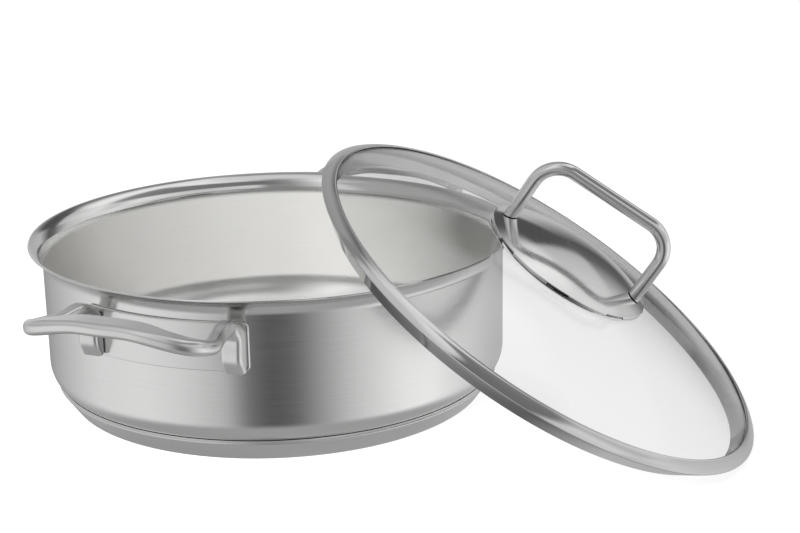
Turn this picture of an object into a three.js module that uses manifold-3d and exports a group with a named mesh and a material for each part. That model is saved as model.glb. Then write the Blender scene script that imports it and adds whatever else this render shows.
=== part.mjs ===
// Serving pan with a glass lid: a two-handled stainless pan with a capsule base, and its domed glass
// lid leaning on the lip with its lower edge on the table. Millimetres, +Z up, the origin on the table
// at the pan's axis, the side handles along X, the lid on the -Y side.
import * as THREE from 'three';
import { mergeVertices } from 'three/addons/utils/BufferGeometryUtils.js';
import Module from 'manifold-3d';

const wasm = await Module();
wasm.setup();

// Clearances
const SEAT_GAP = 0.3; // between pieces that rest on each other
const SCREW_CLEARANCE = 0.35; // round a screw shank, on the radius

// Pan body
const PAN_INNER_RADIUS = 140;
const PAN_WALL = 1.2;
const PAN_HEIGHT = 99.8;
const LIP_OVERHANG = 9; // of the flared lip past the inner wall
const LIP_FLARE_HEIGHT = 12;
const LIP_END_ANGLE = 68; // degrees of the flare's quarter ellipse that the lip follows
const FLOOR_UNDERSIDE = 8; // height of the floor's underside over the table
const KNUCKLE_REACH = 20.2; // run of the curve from the flat floor to the outer wall
const KNUCKLE_HEIGHT = 18.4; // its rise

// Capsule base
const CAP_HEIGHT = 12.9;
const CAP_LEDGE = 1.7; // the cap's top stands this much proud of the knuckle
const CAP_EDGE = 4; // from the core's edge to the cap's foot
const CAP_FOOT_ROUND = 1.6;
const CAP_TOP_ROUND = 0.8;
const CAP_SHEET = 0.8;
const CORE_OVERHANG = 4.3; // of the core past the flat of the floor

// Mounting plate behind the feet of each side handle
const PLATE_THICKNESS = 1.2;
const PLATE_DROP = 2.2; // from the start of the lip's flare down to the plate
const PLATE_HEIGHT = 28.4;
const PLATE_OVERHANG = 7.5; // past the centre of each foot, along the wall
const PLATE_CORNER = 3;

// Side handles, set out about the pan's axis
const FOOT_ANGLE = 17.8; // degrees from the handle's middle to each foot
const FOOT_RISE = 0.8; // of the foot's end above the plate's lower edge
const FOOT_WIDTH = 12.5;
const FOOT_THICKNESS = 9;
const FOOT_TIP_THICKNESS = 5.4;
const FOOT_BEND = 6.5; // radius of the bar's turn from foot to arm
const RIDGE_RISE = 0.9; // of the bar's centre above the plate, where it turns away from the wall
const RIDGE_WIDTH = 11;
const DIP_DROP = 0.8; // from the ridge to the low point of the arm
const DIP_SPREAD = 3; // the arm's low point stands this much wider than the foot
const ARM_SPREAD = 7.4; // the bar's corners stand this much wider than its feet
const ARM_WIDTH = 9.5;
const ARM_THICKNESS = 7.8;
const ARM_ROUND = 3.6; // of the bar's edges along arms and corners
const CORNER_RISE = 0.2; // from the ridge to where the arm meets the corner
const CORNER_RADIUS = 15;
const CORNER_WIDTH = 10.5;
const CORNER_THICKNESS = 8.6;
const GRIP_STANDOFF = 54.3; // from the pan's wall to the middle of the grip
const GRIP_BOW = 1.5; // the grip's middle stands this much further out than its ends
const GRIP_RISE = 10.5; // from the ridge to the middle of the grip
const GRIP_SAG = 4.2; // the grip's ends lie this much below its middle
const GRIP_WIDTH = 16.5;
const GRIP_TAPER = 4.5; // the grip's ends are this much narrower than its middle
const GRIP_THICKNESS = 7.2;
const BAR_EDGE_ROUND = 2.6; // of the bar's edges at the feet and along the grip
const FULLEST_ROUND = 0.45; // of a bar's thickness

// Lid rim: a rolled steel ring that grips the glass, with a skirt that tapers into the pan
const RIM_SHEET = 0.9;
const RIM_GRIP = 3.4; // of the ring over the edge of the glass
const BEAD_OVERHANG = 4.4; // of the rolled bead past the pan's inner wall
const BEAD_NOSE = 1.9; // height of the rolled nose
const SKIRT_SETBACK = 2.5; // from the bead in to the top of the skirt
const SKIRT_TOP_DEPTH = 3.3; // below the plane of the bead
const SKIRT_TAPER = 8.2; // from the skirt's top in to its foot
const SKIRT_FALL = 7.7; // from the skirt's top down to its foot

// Lid glass: a spherical dome with a pressed flat crown under the handle
const GLASS_THICKNESS = 3.5;
const GLASS_SPHERE = 373;
const GLASS_SETBACK = 4.2; // from the bead in to the edge of the glass
const GLASS_EDGE_HEIGHT = 0.95; // of the dome's edge over the plane of the bead
const CROWN_SETBACK = 8; // from the disc's edge in to the flat crown
const CROWN_BLEND = 5;
const CROWN_DEPTH = 4.3; // of the flat crown below the top of the sphere
const STEAM_HOLE_RADIUS = 3;

// Lid handle: a dished disc on the crown and a round bar bent to a U
const DISC_RADIUS = 50;
const DISC_EDGE = 1.1; // thickness of the disc's edge
const DISC_EDGE_GAP = 0.8; // between the dome and the disc's edge
const DISC_SHOULDER = 7; // from the disc's edge in to its crest
const DISC_CREST_RISE = 4.9; // of the crest above the flat crown
const DISH_DEPTH = 2.8;
const DISC_STANDOFF = 0.9; // steam space between the glass and the disc
const VENT_COUNT = 8;
const VENT_WIDTH = 14;
const VENT_HEIGHT = 1.1;
const VENT_LENGTH = 6;
const BOW_SETBACK = 8.5; // from the disc's edge in to the middle of each leg
const BOW_HEIGHT = 41.8; // from the disc's crest to the centre of the bar's top
const BOW_CORNER = 16.5;
const BOW_BAR_RADIUS = 3.9;
const SOCKET_DEPTH = 0.8; // of the leg's seat in the disc

// Screws from below, one up into each leg
const SCREW_RADIUS = 2;
const SCREW_GRIP = 7; // length inside the leg
const SCREW_HEAD_RADIUS = 4.2;
const SCREW_HEAD_HEIGHT = 2.6;
const SCREW_SLOT_WIDTH = 1;
const SCREW_SLOT_DEPTH = 1;
const WASHER_RADIUS = 6;
const WASHER_THICKNESS = 1;
const BUSH_RADIUS = 7;
const BUSH_FLANGE = 1;
const BUSH_WALL = 1.2;

// How the lid leans
const LID_TILT = 33.05; // degrees between the lid's axis and the pan's
const LID_TILT_AZIMUTH = -82.2; // direction that the lid's top faces
const LEAN_AZIMUTH = -98.05; // direction from the pan's axis to the lid's middle
const LEAN_GAP = 0.6; // between the rim and the pan's lip
const BOW_TURN = 3.4; // degrees from the lid's line of slope to the handle bar

// Facets
const ROUND_SEGMENTS = 64;
const DISC_SEGMENTS = 48;
const SMALL_SEGMENTS = 12;
const STEPS_PER_SPAN = 2;

// Steps of the search for where the leaning lid touches the lip
const LIP_SAMPLES = 720;
const LEAN_FIRST_STEP = 0.4; // under the gap that it has to stop at
const LEAN_LAST_STEP = 0.005;

const radians = THREE.MathUtils.degToRad;

// Finishes
function finish(color, roughness, metalness) {
  return new THREE.MeshStandardMaterial({ color, roughness, metalness });
}

const satinSteel = () => finish(0xc3c5c6, 0.34, 1);
const brushedSteel = () => finish(0xb4b6b8, 0.4, 1);
const polishedSteel = () => finish(0xd0d2d4, 0.12, 1);
const aluminium = () => finish(0xa9acb0, 0.5, 1);
const silicone = () => finish(0x2b2d30, 0.8, 0);

function clearGlass() {
  const glass = finish(0xdfe6e4, 0.05, 0);
  glass.transparent = true;
  glass.opacity = 0.35;
  return glass;
}

// Shapes

// Points of an ellipse's arc in a lathe profile, angles in degrees from the outward direction.
function ellipseArc(centre, radii, fromAngle, toAngle, steps) {
  return Array.from({ length: steps + 1 }, (_, i) => {
    const angle = radians(fromAngle + ((toAngle - fromAngle) * i) / steps);
    return [centre[0] + radii[0] * Math.cos(angle), centre[1] + radii[1] * Math.sin(angle)];
  });
}

// A solid turned about Z from a profile of [radius, height] points, going up on the outside.
function turned(profile, segments = ROUND_SEGMENTS) {
  const points = profile.map(([radius, height]) => new THREE.Vector2(Math.max(radius, 0), height));
  return new THREE.LatheGeometry(points, segments).rotateX(Math.PI / 2);
}

// A ring whose profile closes on itself.
function turnedRing(profile, segments = ROUND_SEGMENTS) {
  return turned([...profile, profile[0]], segments);
}

function cylinder(radius, bottom, top, segments = SMALL_SEGMENTS) {
  return turned([[0, bottom], [radius, bottom], [radius, top], [0, top]], segments);
}

function box(size, centre) {
  return new THREE.BoxGeometry(...size).translate(...centre);
}

function toSolid(geometry) {
  const bare = geometry.clone();
  bare.deleteAttribute('normal');
  bare.deleteAttribute('uv');
  const merged = mergeVertices(bare, 1e-5);
  return new wasm.Manifold(new wasm.Mesh({
    numProp: 3,
    vertProperties: new Float32Array(merged.attributes.position.array),
    triVerts: new Uint32Array(merged.index.array),
  }));
}

function toGeometry(solid) {
  const mesh = solid.getMesh();
  const geometry = new THREE.BufferGeometry();
  geometry.setAttribute('position', new THREE.BufferAttribute(mesh.vertProperties, 3));
  geometry.setIndex(new THREE.BufferAttribute(mesh.triVerts, 1));
  return geometry;
}

function cut(geometry, tools) {
  const solid = tools.reduce((rest, tool) => rest.subtract(toSolid(tool)), toSolid(geometry));
  return toGeometry(solid);
}

function common(first, second) {
  return toGeometry(toSolid(first).intersect(toSolid(second)));
}

function piece(name, geometry, material) {
  const mesh = new THREE.Mesh(geometry, material);
  mesh.name = name;
  return mesh;
}

// A solid through a row of closed sections, each with the same number of points, capped at both ends.
function loft(sections) {
  const count = sections[0].length;
  const positions = sections.flat().flatMap((point) => [point.x, point.y, point.z]);
  const indices = [];
  for (let row = 0; row < sections.length - 1; row += 1) {
    for (let i = 0; i < count; i += 1) {
      const next = (i + 1) % count;
      const a = row * count + i;
      const b = row * count + next;
      indices.push(a, b, b + count, a, b + count, a + count);
    }
  }
  const last = (sections.length - 1) * count;
  for (let i = 1; i < count - 1; i += 1) {
    indices.push(0, i + 1, i);
    indices.push(last, last + i, last + i + 1);
  }
  const geometry = new THREE.BufferGeometry();
  geometry.setAttribute('position', new THREE.Float32BufferAttribute(positions, 3));
  geometry.setIndex(indices);
  return geometry;
}

// Pan body and capsule base

const panOuterRadius = PAN_INNER_RADIUS + PAN_WALL;
const lipRadius = PAN_INNER_RADIUS + LIP_OVERHANG;
const floorRadius = panOuterRadius - KNUCKLE_REACH;
const knuckleTop = FLOOR_UNDERSIDE + KNUCKLE_HEIGHT;
const flareStart = PAN_HEIGHT - LIP_FLARE_HEIGHT;

// The pan's outside between floor and wall, grown outward by an offset, from one angle to another.
function knuckle(offset, fromAngle, toAngle, steps) {
  const radii = [KNUCKLE_REACH + offset, KNUCKLE_HEIGHT + offset];
  return ellipseArc([floorRadius, knuckleTop], radii, fromAngle, toAngle, steps);
}

// The angle at which the grown knuckle passes a height.
function knuckleAngleAtHeight(offset, height) {
  return -THREE.MathUtils.radToDeg(Math.asin((knuckleTop - height) / (KNUCKLE_HEIGHT + offset)));
}

// The angle at which the grown knuckle is some way past the flat of the floor.
function knuckleAngleAtRun(offset, run) {
  return -THREE.MathUtils.radToDeg(Math.acos(run / (KNUCKLE_REACH + offset)));
}

function panShell() {
  const lipRise = LIP_FLARE_HEIGHT / Math.sin(radians(LIP_END_ANGLE));
  const lipThrow = LIP_OVERHANG / (1 - Math.cos(radians(LIP_END_ANGLE)));
  const flareCentre = [PAN_INNER_RADIUS + lipThrow, flareStart];
  const innerFlare = ellipseArc(flareCentre, [lipThrow, lipRise], 180 - LIP_END_ANGLE, 180, 5);
  const outerRadii = [lipThrow - PAN_WALL, lipRise - PAN_WALL];
  const outerFlare = ellipseArc(flareCentre, outerRadii, 180, 180 - LIP_END_ANGLE, 5);
  return turned([
    [0, FLOOR_UNDERSIDE],
    ...knuckle(0, -90, 0, 5),
    ...outerFlare,
    ...innerFlare,
    ...knuckle(-PAN_WALL, 0, -90, 4),
    [0, FLOOR_UNDERSIDE + PAN_WALL],
  ]);
}

const coreRadius = floorRadius + CORE_OVERHANG;

function baseCore() {
  const bottom = CAP_SHEET + SEAT_GAP;
  return turned([
    [0, bottom],
    [coreRadius, bottom],
    ...knuckle(SEAT_GAP, knuckleAngleAtRun(SEAT_GAP, CORE_OVERHANG), -90, 1),
    [0, FLOOR_UNDERSIDE - SEAT_GAP],
  ]);
}

function baseCap() {
  const topAngle = knuckleAngleAtHeight(SEAT_GAP, CAP_HEIGHT);
  const pocketAngle = knuckleAngleAtRun(SEAT_GAP, CORE_OVERHANG + SEAT_GAP);
  const innerEdge = knuckle(SEAT_GAP, topAngle, pocketAngle, 3);
  const topRadius = innerEdge[0][0] + CAP_LEDGE;
  const footCentre = [coreRadius + CAP_EDGE - CAP_FOOT_ROUND, CAP_FOOT_ROUND];
  const footRadii = [CAP_FOOT_ROUND, CAP_FOOT_ROUND];
  return turned([
    [0, 0],
    ...ellipseArc(footCentre, footRadii, -90, -25, 2),
    [topRadius, CAP_HEIGHT - CAP_TOP_ROUND],
    [topRadius - CAP_TOP_ROUND, CAP_HEIGHT],
    ...innerEdge,
    [coreRadius + SEAT_GAP, CAP_SHEET],
    [0, CAP_SHEET],
  ]);
}

// Side handles

const plateInnerRadius = panOuterRadius + SEAT_GAP;
const plateOuterRadius = plateInnerRadius + PLATE_THICKNESS;
const plateTop = flareStart - PLATE_DROP;
const plateBottom = plateTop - PLATE_HEIGHT;
const footCentreRadius = plateOuterRadius + SEAT_GAP + FOOT_THICKNESS / 2;
const footBottom = plateBottom + FOOT_RISE;
const ridgeHeight = plateTop + RIDGE_RISE;
const gripHeight = ridgeHeight + GRIP_RISE;
const gripReach = panOuterRadius + GRIP_STANDOFF;

function mountingPlate() {
  const halfWidth = plateOuterRadius * radians(FOOT_ANGLE) + PLATE_OVERHANG;
  const halfChord = plateOuterRadius * Math.sin(halfWidth / plateOuterRadius);
  const outline = new THREE.Shape();
  outline.moveTo(-halfChord + PLATE_CORNER, plateBottom);
  outline.lineTo(halfChord - PLATE_CORNER, plateBottom);
  outline.quadraticCurveTo(halfChord, plateBottom, halfChord, plateBottom + PLATE_CORNER);
  outline.lineTo(halfChord, plateTop - PLATE_CORNER);
  outline.quadraticCurveTo(halfChord, plateTop, halfChord - PLATE_CORNER, plateTop);
  outline.lineTo(-halfChord + PLATE_CORNER, plateTop);
  outline.quadraticCurveTo(-halfChord, plateTop, -halfChord, plateTop - PLATE_CORNER);
  outline.lineTo(-halfChord, plateBottom + PLATE_CORNER);
  outline.quadraticCurveTo(-halfChord, plateBottom, -halfChord + PLATE_CORNER, plateBottom);
  // The outline stands in the YZ plane and is pushed out along X, through the near wall only.
  const prism = new THREE.ExtrudeGeometry(outline, {
    depth: plateOuterRadius, bevelEnabled: false, curveSegments: 4,
  }).rotateX(Math.PI / 2).rotateZ(Math.PI / 2);
  const sleeve = turnedRing([
    [plateInnerRadius, plateBottom - PLATE_CORNER],
    [plateOuterRadius, plateBottom - PLATE_CORNER],
    [plateOuterRadius, plateTop + PLATE_CORNER],
    [plateInnerRadius, plateTop + PLATE_CORNER],
  ]);
  return common(sleeve, prism);
}

// The centre line of half a handle, from the foot's bottom to the middle of the grip, with the bar's
// section at each station and the way its upper side faces. X points out from the pan, Y along the grip.
function handleStations() {
  const footSide = footCentreRadius * Math.sin(radians(FOOT_ANGLE));
  const footOut = footCentreRadius * Math.cos(radians(FOOT_ANGLE));
  const ridgeOut = footOut + FOOT_BEND;
  const cornerOut = gripReach - GRIP_BOW - CORNER_RADIUS;
  const cornerSide = footSide + ARM_SPREAD - CORNER_RADIUS;
  const cornerHeight = ridgeHeight + CORNER_RISE;
  const gripEndHeight = gripHeight - GRIP_SAG;
  const toWall = new THREE.Vector3(-1, 0, 0);
  const upward = new THREE.Vector3(0, 0, 1);
  const station = (out, side, height, width, thickness, round, facing = upward) => (
    { centre: new THREE.Vector3(out, side, height), width, thickness, round, facing });
  // Up the foot, whose back stays on the wall where it gets thinner.
  const footAt = (height, thickness) => station(
    footOut - (FOOT_THICKNESS - thickness) / 2, footSide, height,
    FOOT_WIDTH, thickness, BAR_EDGE_ROUND, toWall,
  );
  // Round the corner, from the arm at share 0 to the grip at share 1.
  const cornerAt = (share, width, thickness) => station(
    cornerOut + CORNER_RADIUS * Math.sin((share * Math.PI) / 2),
    cornerSide + CORNER_RADIUS * Math.cos((share * Math.PI) / 2),
    THREE.MathUtils.lerp(cornerHeight, gripEndHeight, share),
    width, thickness, ARM_ROUND,
  );
  // Along the grip, from its end at share 1 to its middle at share 0.
  const gripAt = (share, thickness, round) => station(
    gripReach - GRIP_BOW * share * share,
    cornerSide * share,
    gripHeight - GRIP_SAG * share ** 3,
    GRIP_WIDTH - GRIP_TAPER * share * share, thickness, round,
  );
  return [
    footAt(footBottom, FOOT_TIP_THICKNESS),
    footAt(footBottom + FOOT_THICKNESS, FOOT_THICKNESS),
    footAt(ridgeHeight - FOOT_BEND, FOOT_THICKNESS),
    station(ridgeOut, footSide, ridgeHeight, RIDGE_WIDTH, ARM_THICKNESS, ARM_ROUND),
    station(
      (ridgeOut + cornerOut) / 2, footSide + DIP_SPREAD, ridgeHeight - DIP_DROP,
      ARM_WIDTH, ARM_THICKNESS, ARM_ROUND,
    ),
    cornerAt(0, ARM_WIDTH, ARM_THICKNESS),
    cornerAt(0.5, CORNER_WIDTH, CORNER_THICKNESS),
    gripAt(1, CORNER_THICKNESS, ARM_ROUND),
    gripAt(0.5, GRIP_THICKNESS, BAR_EDGE_ROUND),
    gripAt(0, GRIP_THICKNESS, BAR_EDGE_ROUND),
  ];
}

// A rounded rectangle across the bar.
function barSection(centre, across, up, width, thickness, edgeRound) {
  const round = Math.min(edgeRound, thickness * FULLEST_ROUND);
  const corners = [[1, 1], [-1, 1], [-1, -1], [1, -1]];
  return corners.flatMap(([side, top], corner) => [0, 45, 90].map((turn) => {
    const angle = radians(corner * 90 + turn);
    const x = side * (width / 2 - round) + round * Math.cos(angle);
    const y = top * (thickness / 2 - round) + round * Math.sin(angle);
    return centre.clone().addScaledVector(across, x).addScaledVector(up, y);
  }));
}

function sideHandle() {
  const half = handleStations();
  const mirrored = half.slice(0, -1).reverse().map((station) => (
    { ...station, centre: station.centre.clone().multiply(new THREE.Vector3(1, -1, 1)) }));
  const stations = [...half, ...mirrored];
  const path = new THREE.CatmullRomCurve3(stations.map(({ centre }) => centre), false, 'centripetal');
  const spans = stations.length - 1;
  const sections = [];
  for (let i = 0; i <= spans * STEPS_PER_SPAN; i += 1) {
    const span = Math.min(Math.floor(i / STEPS_PER_SPAN), spans - 1);
    const from = stations[span];
    const to = stations[span + 1];
    const blend = i / STEPS_PER_SPAN - span;
    const share = i / (spans * STEPS_PER_SPAN);
    const tangent = path.getTangent(share);
    const facing = from.facing.clone().lerp(to.facing, blend);
    const up = facing.addScaledVector(tangent, -facing.dot(tangent)).normalize();
    const across = new THREE.Vector3().crossVectors(up, tangent);
    sections.push(barSection(
      path.getPoint(share), across, up,
      THREE.MathUtils.lerp(from.width, to.width, blend),
      THREE.MathUtils.lerp(from.thickness, to.thickness, blend),
      THREE.MathUtils.lerp(from.round, to.round, blend),
    ));
  }
  const wallClearance = cylinder(
    plateOuterRadius + SEAT_GAP, 0, PAN_HEIGHT + gripHeight, ROUND_SEGMENTS);
  return cut(loft(sections), [wallClearance]);
}

// Lid

const beadRadius = PAN_INNER_RADIUS + BEAD_OVERHANG;
const skirtTopRadius = beadRadius - SKIRT_SETBACK;
const skirtFootRadius = skirtTopRadius - SKIRT_TAPER;
const skirtDepth = SKIRT_TOP_DEPTH + SKIRT_FALL;
const glassEdgeRadius = beadRadius - GLASS_SETBACK;
const domeCentre = GLASS_EDGE_HEIGHT - Math.sqrt(GLASS_SPHERE ** 2 - glassEdgeRadius ** 2);
const domeTop = domeCentre + GLASS_SPHERE;

// Height of the dome at a radius, grown outward from the glass by an offset.
function domeHeight(radius, offset) {
  const sphere = GLASS_SPHERE + offset;
  return domeCentre + Math.sqrt(sphere * sphere - radius * radius);
}

function domePoints(offset, fromRadius, toRadius, steps) {
  return Array.from({ length: steps + 1 }, (_, i) => {
    const radius = fromRadius + ((toRadius - fromRadius) * i) / steps;
    return [radius, domeHeight(radius, offset)];
  });
}

const crownRadius = DISC_RADIUS - CROWN_SETBACK;
const crownTop = domeTop - CROWN_DEPTH;
const crownUnderside = crownTop - GLASS_THICKNESS;
const screwSides = [-1, 1];
const bowHalfSpan = DISC_RADIUS - BOW_SETBACK;

function lidGlass() {
  const crownEdge = crownRadius + CROWN_BLEND;
  const dome = turned([
    [0, crownUnderside],
    [crownRadius, crownUnderside],
    ...domePoints(-GLASS_THICKNESS, crownEdge, glassEdgeRadius, 6),
    ...domePoints(0, glassEdgeRadius, crownEdge, 6),
    [crownRadius, crownTop],
    [0, crownTop],
  ]);
  const bushBore = BUSH_WALL + SCREW_RADIUS + SCREW_CLEARANCE + SEAT_GAP;
  const bores = screwSides.map((side) => (
    cylinder(bushBore, 0, domeTop).translate(side * bowHalfSpan, 0, 0)));
  const steamHole = cylinder(STEAM_HOLE_RADIUS, 0, domeTop);
  return cut(dome, [...bores, steamHole]);
}

function lidRim() {
  const topOffset = SEAT_GAP + RIM_SHEET;
  const underOffset = -GLASS_THICKNESS - SEAT_GAP;
  const channelRadius = glassEdgeRadius + SEAT_GAP;
  const rimLipRadius = glassEdgeRadius - RIM_GRIP;
  const noseRadius = BEAD_NOSE / 2;
  const noseStart = beadRadius - noseRadius;
  const noseCentre = [noseStart, domeHeight(noseStart, topOffset) - noseRadius];
  const nose = ellipseArc(noseCentre, [noseRadius, noseRadius], -70, 60, 3);
  const skirtLength = Math.hypot(SKIRT_TAPER, SKIRT_FALL);
  const skirtIn = (RIM_SHEET * SKIRT_FALL) / skirtLength;
  const skirtUp = (RIM_SHEET * SKIRT_TAPER) / skirtLength;
  const footInside = [skirtFootRadius - skirtIn, skirtUp - skirtDepth];
  // Where the skirt's inside meets the underside of the lip below the glass.
  const lipUnder = domeHeight(rimLipRadius, underOffset - RIM_SHEET);
  const innerRise = lipUnder - RIM_SHEET - footInside[1];
  const jointRadius = footInside[0] + (innerRise * SKIRT_TAPER) / SKIRT_FALL;
  return turnedRing([
    footInside,
    [skirtFootRadius, -skirtDepth],
    [skirtTopRadius, -SKIRT_TOP_DEPTH],
    ...nose,
    ...domePoints(topOffset, noseStart - noseRadius, rimLipRadius, 2),
    ...domePoints(SEAT_GAP, rimLipRadius, channelRadius, 1),
    ...domePoints(underOffset, channelRadius, rimLipRadius, 1),
    [rimLipRadius, lipUnder],
    [jointRadius, lipUnder - RIM_SHEET],
  ]);
}

const discUnderside = crownTop + DISC_STANDOFF;
const discCrest = crownTop + DISC_CREST_RISE;
const discEdgeHeight = domeHeight(DISC_RADIUS, 0) + DISC_EDGE_GAP;
const dishBottom = discCrest - DISH_DEPTH;
const bowTop = discCrest + BOW_HEIGHT;

// The top of the disc from its edge over the crest to the middle of the dish.
function discTop() {
  const crestRadius = DISC_RADIUS - DISC_SHOULDER;
  const edgeTop = discEdgeHeight + DISC_EDGE;
  const roll = ellipseArc(
    [crestRadius, edgeTop], [DISC_SHOULDER, discCrest - edgeTop], 0, 90, 4);
  const dishSteps = 6;
  const dish = Array.from({ length: dishSteps }, (_, i) => {
    const share = 1 - (i + 1) / dishSteps;
    const lift = (1 - Math.cos(Math.PI * share)) / 2;
    return [crestRadius * share, dishBottom + DISH_DEPTH * lift];
  });
  return [...roll, ...dish];
}

function handleDisc() {
  const rimRadius = crownRadius + CROWN_BLEND;
  const disc = turned([
    [0, discUnderside],
    [crownRadius, discUnderside],
    [rimRadius, domeHeight(rimRadius, SEAT_GAP)],
    [DISC_RADIUS, discEdgeHeight],
    ...discTop(),
  ], DISC_SEGMENTS);
  const seatBottom = discCrest - SOCKET_DEPTH;
  const seats = screwSides.flatMap((side) => [
    cylinder(BOW_BAR_RADIUS + SEAT_GAP, seatBottom, bowTop).translate(side * bowHalfSpan, 0, 0),
    cylinder(SCREW_RADIUS + SCREW_CLEARANCE, 0, bowTop).translate(side * bowHalfSpan, 0, 0),
  ]);
  const ventBottom = discEdgeHeight - VENT_HEIGHT;
  const vents = Array.from({ length: VENT_COUNT }, (_, i) => (
    box([VENT_LENGTH, VENT_WIDTH, 2 * VENT_HEIGHT], [DISC_RADIUS, 0, ventBottom + VENT_HEIGHT / 2])
      .rotateZ((i * 2 * Math.PI) / VENT_COUNT)));
  return cut(disc, [...seats, ...vents]);
}

// The centre line of the bar: up one leg, round two corners and down the other leg.
class BowPath extends THREE.Curve {
  constructor(legBottom) {
    super();
    this.legBottom = legBottom;
    this.leg = bowTop - BOW_CORNER - legBottom;
    this.corner = (Math.PI / 2) * BOW_CORNER;
    this.top = 2 * (bowHalfSpan - BOW_CORNER);
  }

  getPoint(share, target = new THREE.Vector3()) {
    const half = this.leg + this.corner + this.top / 2;
    const along = share * 2 * half;
    const side = along < half ? -1 : 1;
    const fromLeg = along < half ? along : 2 * half - along;
    if (fromLeg < this.leg) return target.set(side * bowHalfSpan, 0, this.legBottom + fromLeg);
    const turn = (fromLeg - this.leg) / BOW_CORNER;
    const inner = bowHalfSpan - BOW_CORNER;
    const shoulder = bowTop - BOW_CORNER;
    if (turn < Math.PI / 2) {
      return target.set(
        side * (inner + BOW_CORNER * Math.cos(turn)), 0, shoulder + BOW_CORNER * Math.sin(turn));
    }
    return target.set(side * (half - fromLeg), 0, bowTop);
  }
}

const legBottom = discCrest - SOCKET_DEPTH + SEAT_GAP;

function handleBow() {
  const section = new THREE.Shape();
  section.absarc(0, 0, BOW_BAR_RADIUS, 0, 2 * Math.PI, false);
  const bar = new THREE.ExtrudeGeometry(section, {
    extrudePath: new BowPath(legBottom), steps: 36, curveSegments: 6, bevelEnabled: false,
  });
  const boreRadius = SCREW_RADIUS + SCREW_CLEARANCE;
  const boreTop = legBottom + SCREW_GRIP + SEAT_GAP;
  return cut(bar, screwSides.map((side) => (
    cylinder(boreRadius, 0, boreTop).translate(side * bowHalfSpan, 0, 0))));
}

// Silicone bush: a tube through the glass with a flange below it.
const bushUnderside = crownUnderside - SEAT_GAP - BUSH_FLANGE;

function screwBush() {
  const bore = SCREW_RADIUS + SCREW_CLEARANCE;
  return turnedRing([
    [bore, bushUnderside],
    [BUSH_RADIUS, bushUnderside],
    [BUSH_RADIUS, crownUnderside - SEAT_GAP],
    [bore + BUSH_WALL, crownUnderside - SEAT_GAP],
    [bore + BUSH_WALL, discUnderside - SEAT_GAP],
    [bore, discUnderside - SEAT_GAP],
  ], SMALL_SEGMENTS);
}

const washerUnderside = bushUnderside - SEAT_GAP - WASHER_THICKNESS;

function screwWasher() {
  const bore = SCREW_RADIUS + SCREW_CLEARANCE;
  return turnedRing([
    [bore, washerUnderside],
    [WASHER_RADIUS, washerUnderside],
    [WASHER_RADIUS, washerUnderside + WASHER_THICKNESS],
    [bore, washerUnderside + WASHER_THICKNESS],
  ], SMALL_SEGMENTS);
}

function handleScrew() {
  const headTop = washerUnderside - SEAT_GAP;
  const headBottom = headTop - SCREW_HEAD_HEIGHT;
  const screw = turned([
    [0, headBottom],
    ...ellipseArc([0, headTop], [SCREW_HEAD_RADIUS, SCREW_HEAD_HEIGHT], -55, 0, 2),
    [SCREW_RADIUS, headTop],
    [SCREW_RADIUS, legBottom + SCREW_GRIP],
    [0, legBottom + SCREW_GRIP],
  ], SMALL_SEGMENTS);
  const slot = box(
    [2 * SCREW_HEAD_RADIUS, SCREW_SLOT_WIDTH, 2 * SCREW_SLOT_DEPTH], [0, 0, headBottom]);
  return cut(screw, [slot]);
}

// Assembly

function pan() {
  const group = new THREE.Group();
  group.add(piece('pan_shell', panShell(), satinSteel()));
  group.add(piece('base_core', baseCore(), aluminium()));
  group.add(piece('base_cap', baseCap(), brushedSteel()));
  ['right', 'left'].forEach((side, i) => {
    const handle = new THREE.Group();
    handle.rotation.z = i * Math.PI;
    handle.add(piece(`${side}_handle_plate`, mountingPlate(), satinSteel()));
    handle.add(piece(`${side}_handle`, sideHandle(), satinSteel()));
    group.add(handle);
  });
  return group;
}

// The lid's middle for a distance from the pan's axis, with the skirt's foot on the table.
function leanAt(distance) {
  const direction = radians(LEAN_AZIMUTH);
  const height = skirtFootRadius * Math.sin(radians(LID_TILT)) + skirtDepth * Math.cos(radians(LID_TILT));
  return new THREE.Vector3(distance * Math.cos(direction), distance * Math.sin(direction), height);
}

// The smallest gap between the edge of the pan's lip and the outside of the rim's skirt and bead.
function leanClearance(distance) {
  const turnBack = new THREE.Euler(0, radians(LID_TILT), radians(LID_TILT_AZIMUTH), 'ZYX');
  const toLid = new THREE.Quaternion().setFromEuler(turnBack).invert();
  const middle = leanAt(distance);
  const foot = new THREE.Vector2(skirtFootRadius, -skirtDepth);
  const waist = new THREE.Vector2(skirtTopRadius, -SKIRT_TOP_DEPTH);
  const nose = new THREE.Vector2(beadRadius, -BEAD_NOSE / 2);
  const gapTo = (point, from, to) => {
    const along = to.clone().sub(from);
    const share = point.clone().sub(from).dot(along) / along.lengthSq();
    return from.clone().addScaledVector(along, THREE.MathUtils.clamp(share, 0, 1)).distanceTo(point);
  };
  const gaps = Array.from({ length: LIP_SAMPLES }, (_, i) => {
    const angle = (i * 2 * Math.PI) / LIP_SAMPLES;
    const lip = new THREE.Vector3(lipRadius * Math.cos(angle), lipRadius * Math.sin(angle), PAN_HEIGHT);
    const inLid = lip.sub(middle).applyQuaternion(toLid);
    const point = new THREE.Vector2(Math.hypot(inLid.x, inLid.y), inLid.z);
    return Math.min(gapTo(point, foot, waist), gapTo(point, waist, nose));
  });
  return Math.min(...gaps);
}

// Pushed in from well clear of the pan until the rim is one gap from the lip.
function leaningPlace() {
  let distance = lipRadius + beadRadius;
  for (let step = LEAN_FIRST_STEP; step > LEAN_LAST_STEP; step /= 2) {
    while (leanClearance(distance - step) > LEAN_GAP) distance -= step;
  }
  return leanAt(distance);
}

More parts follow.
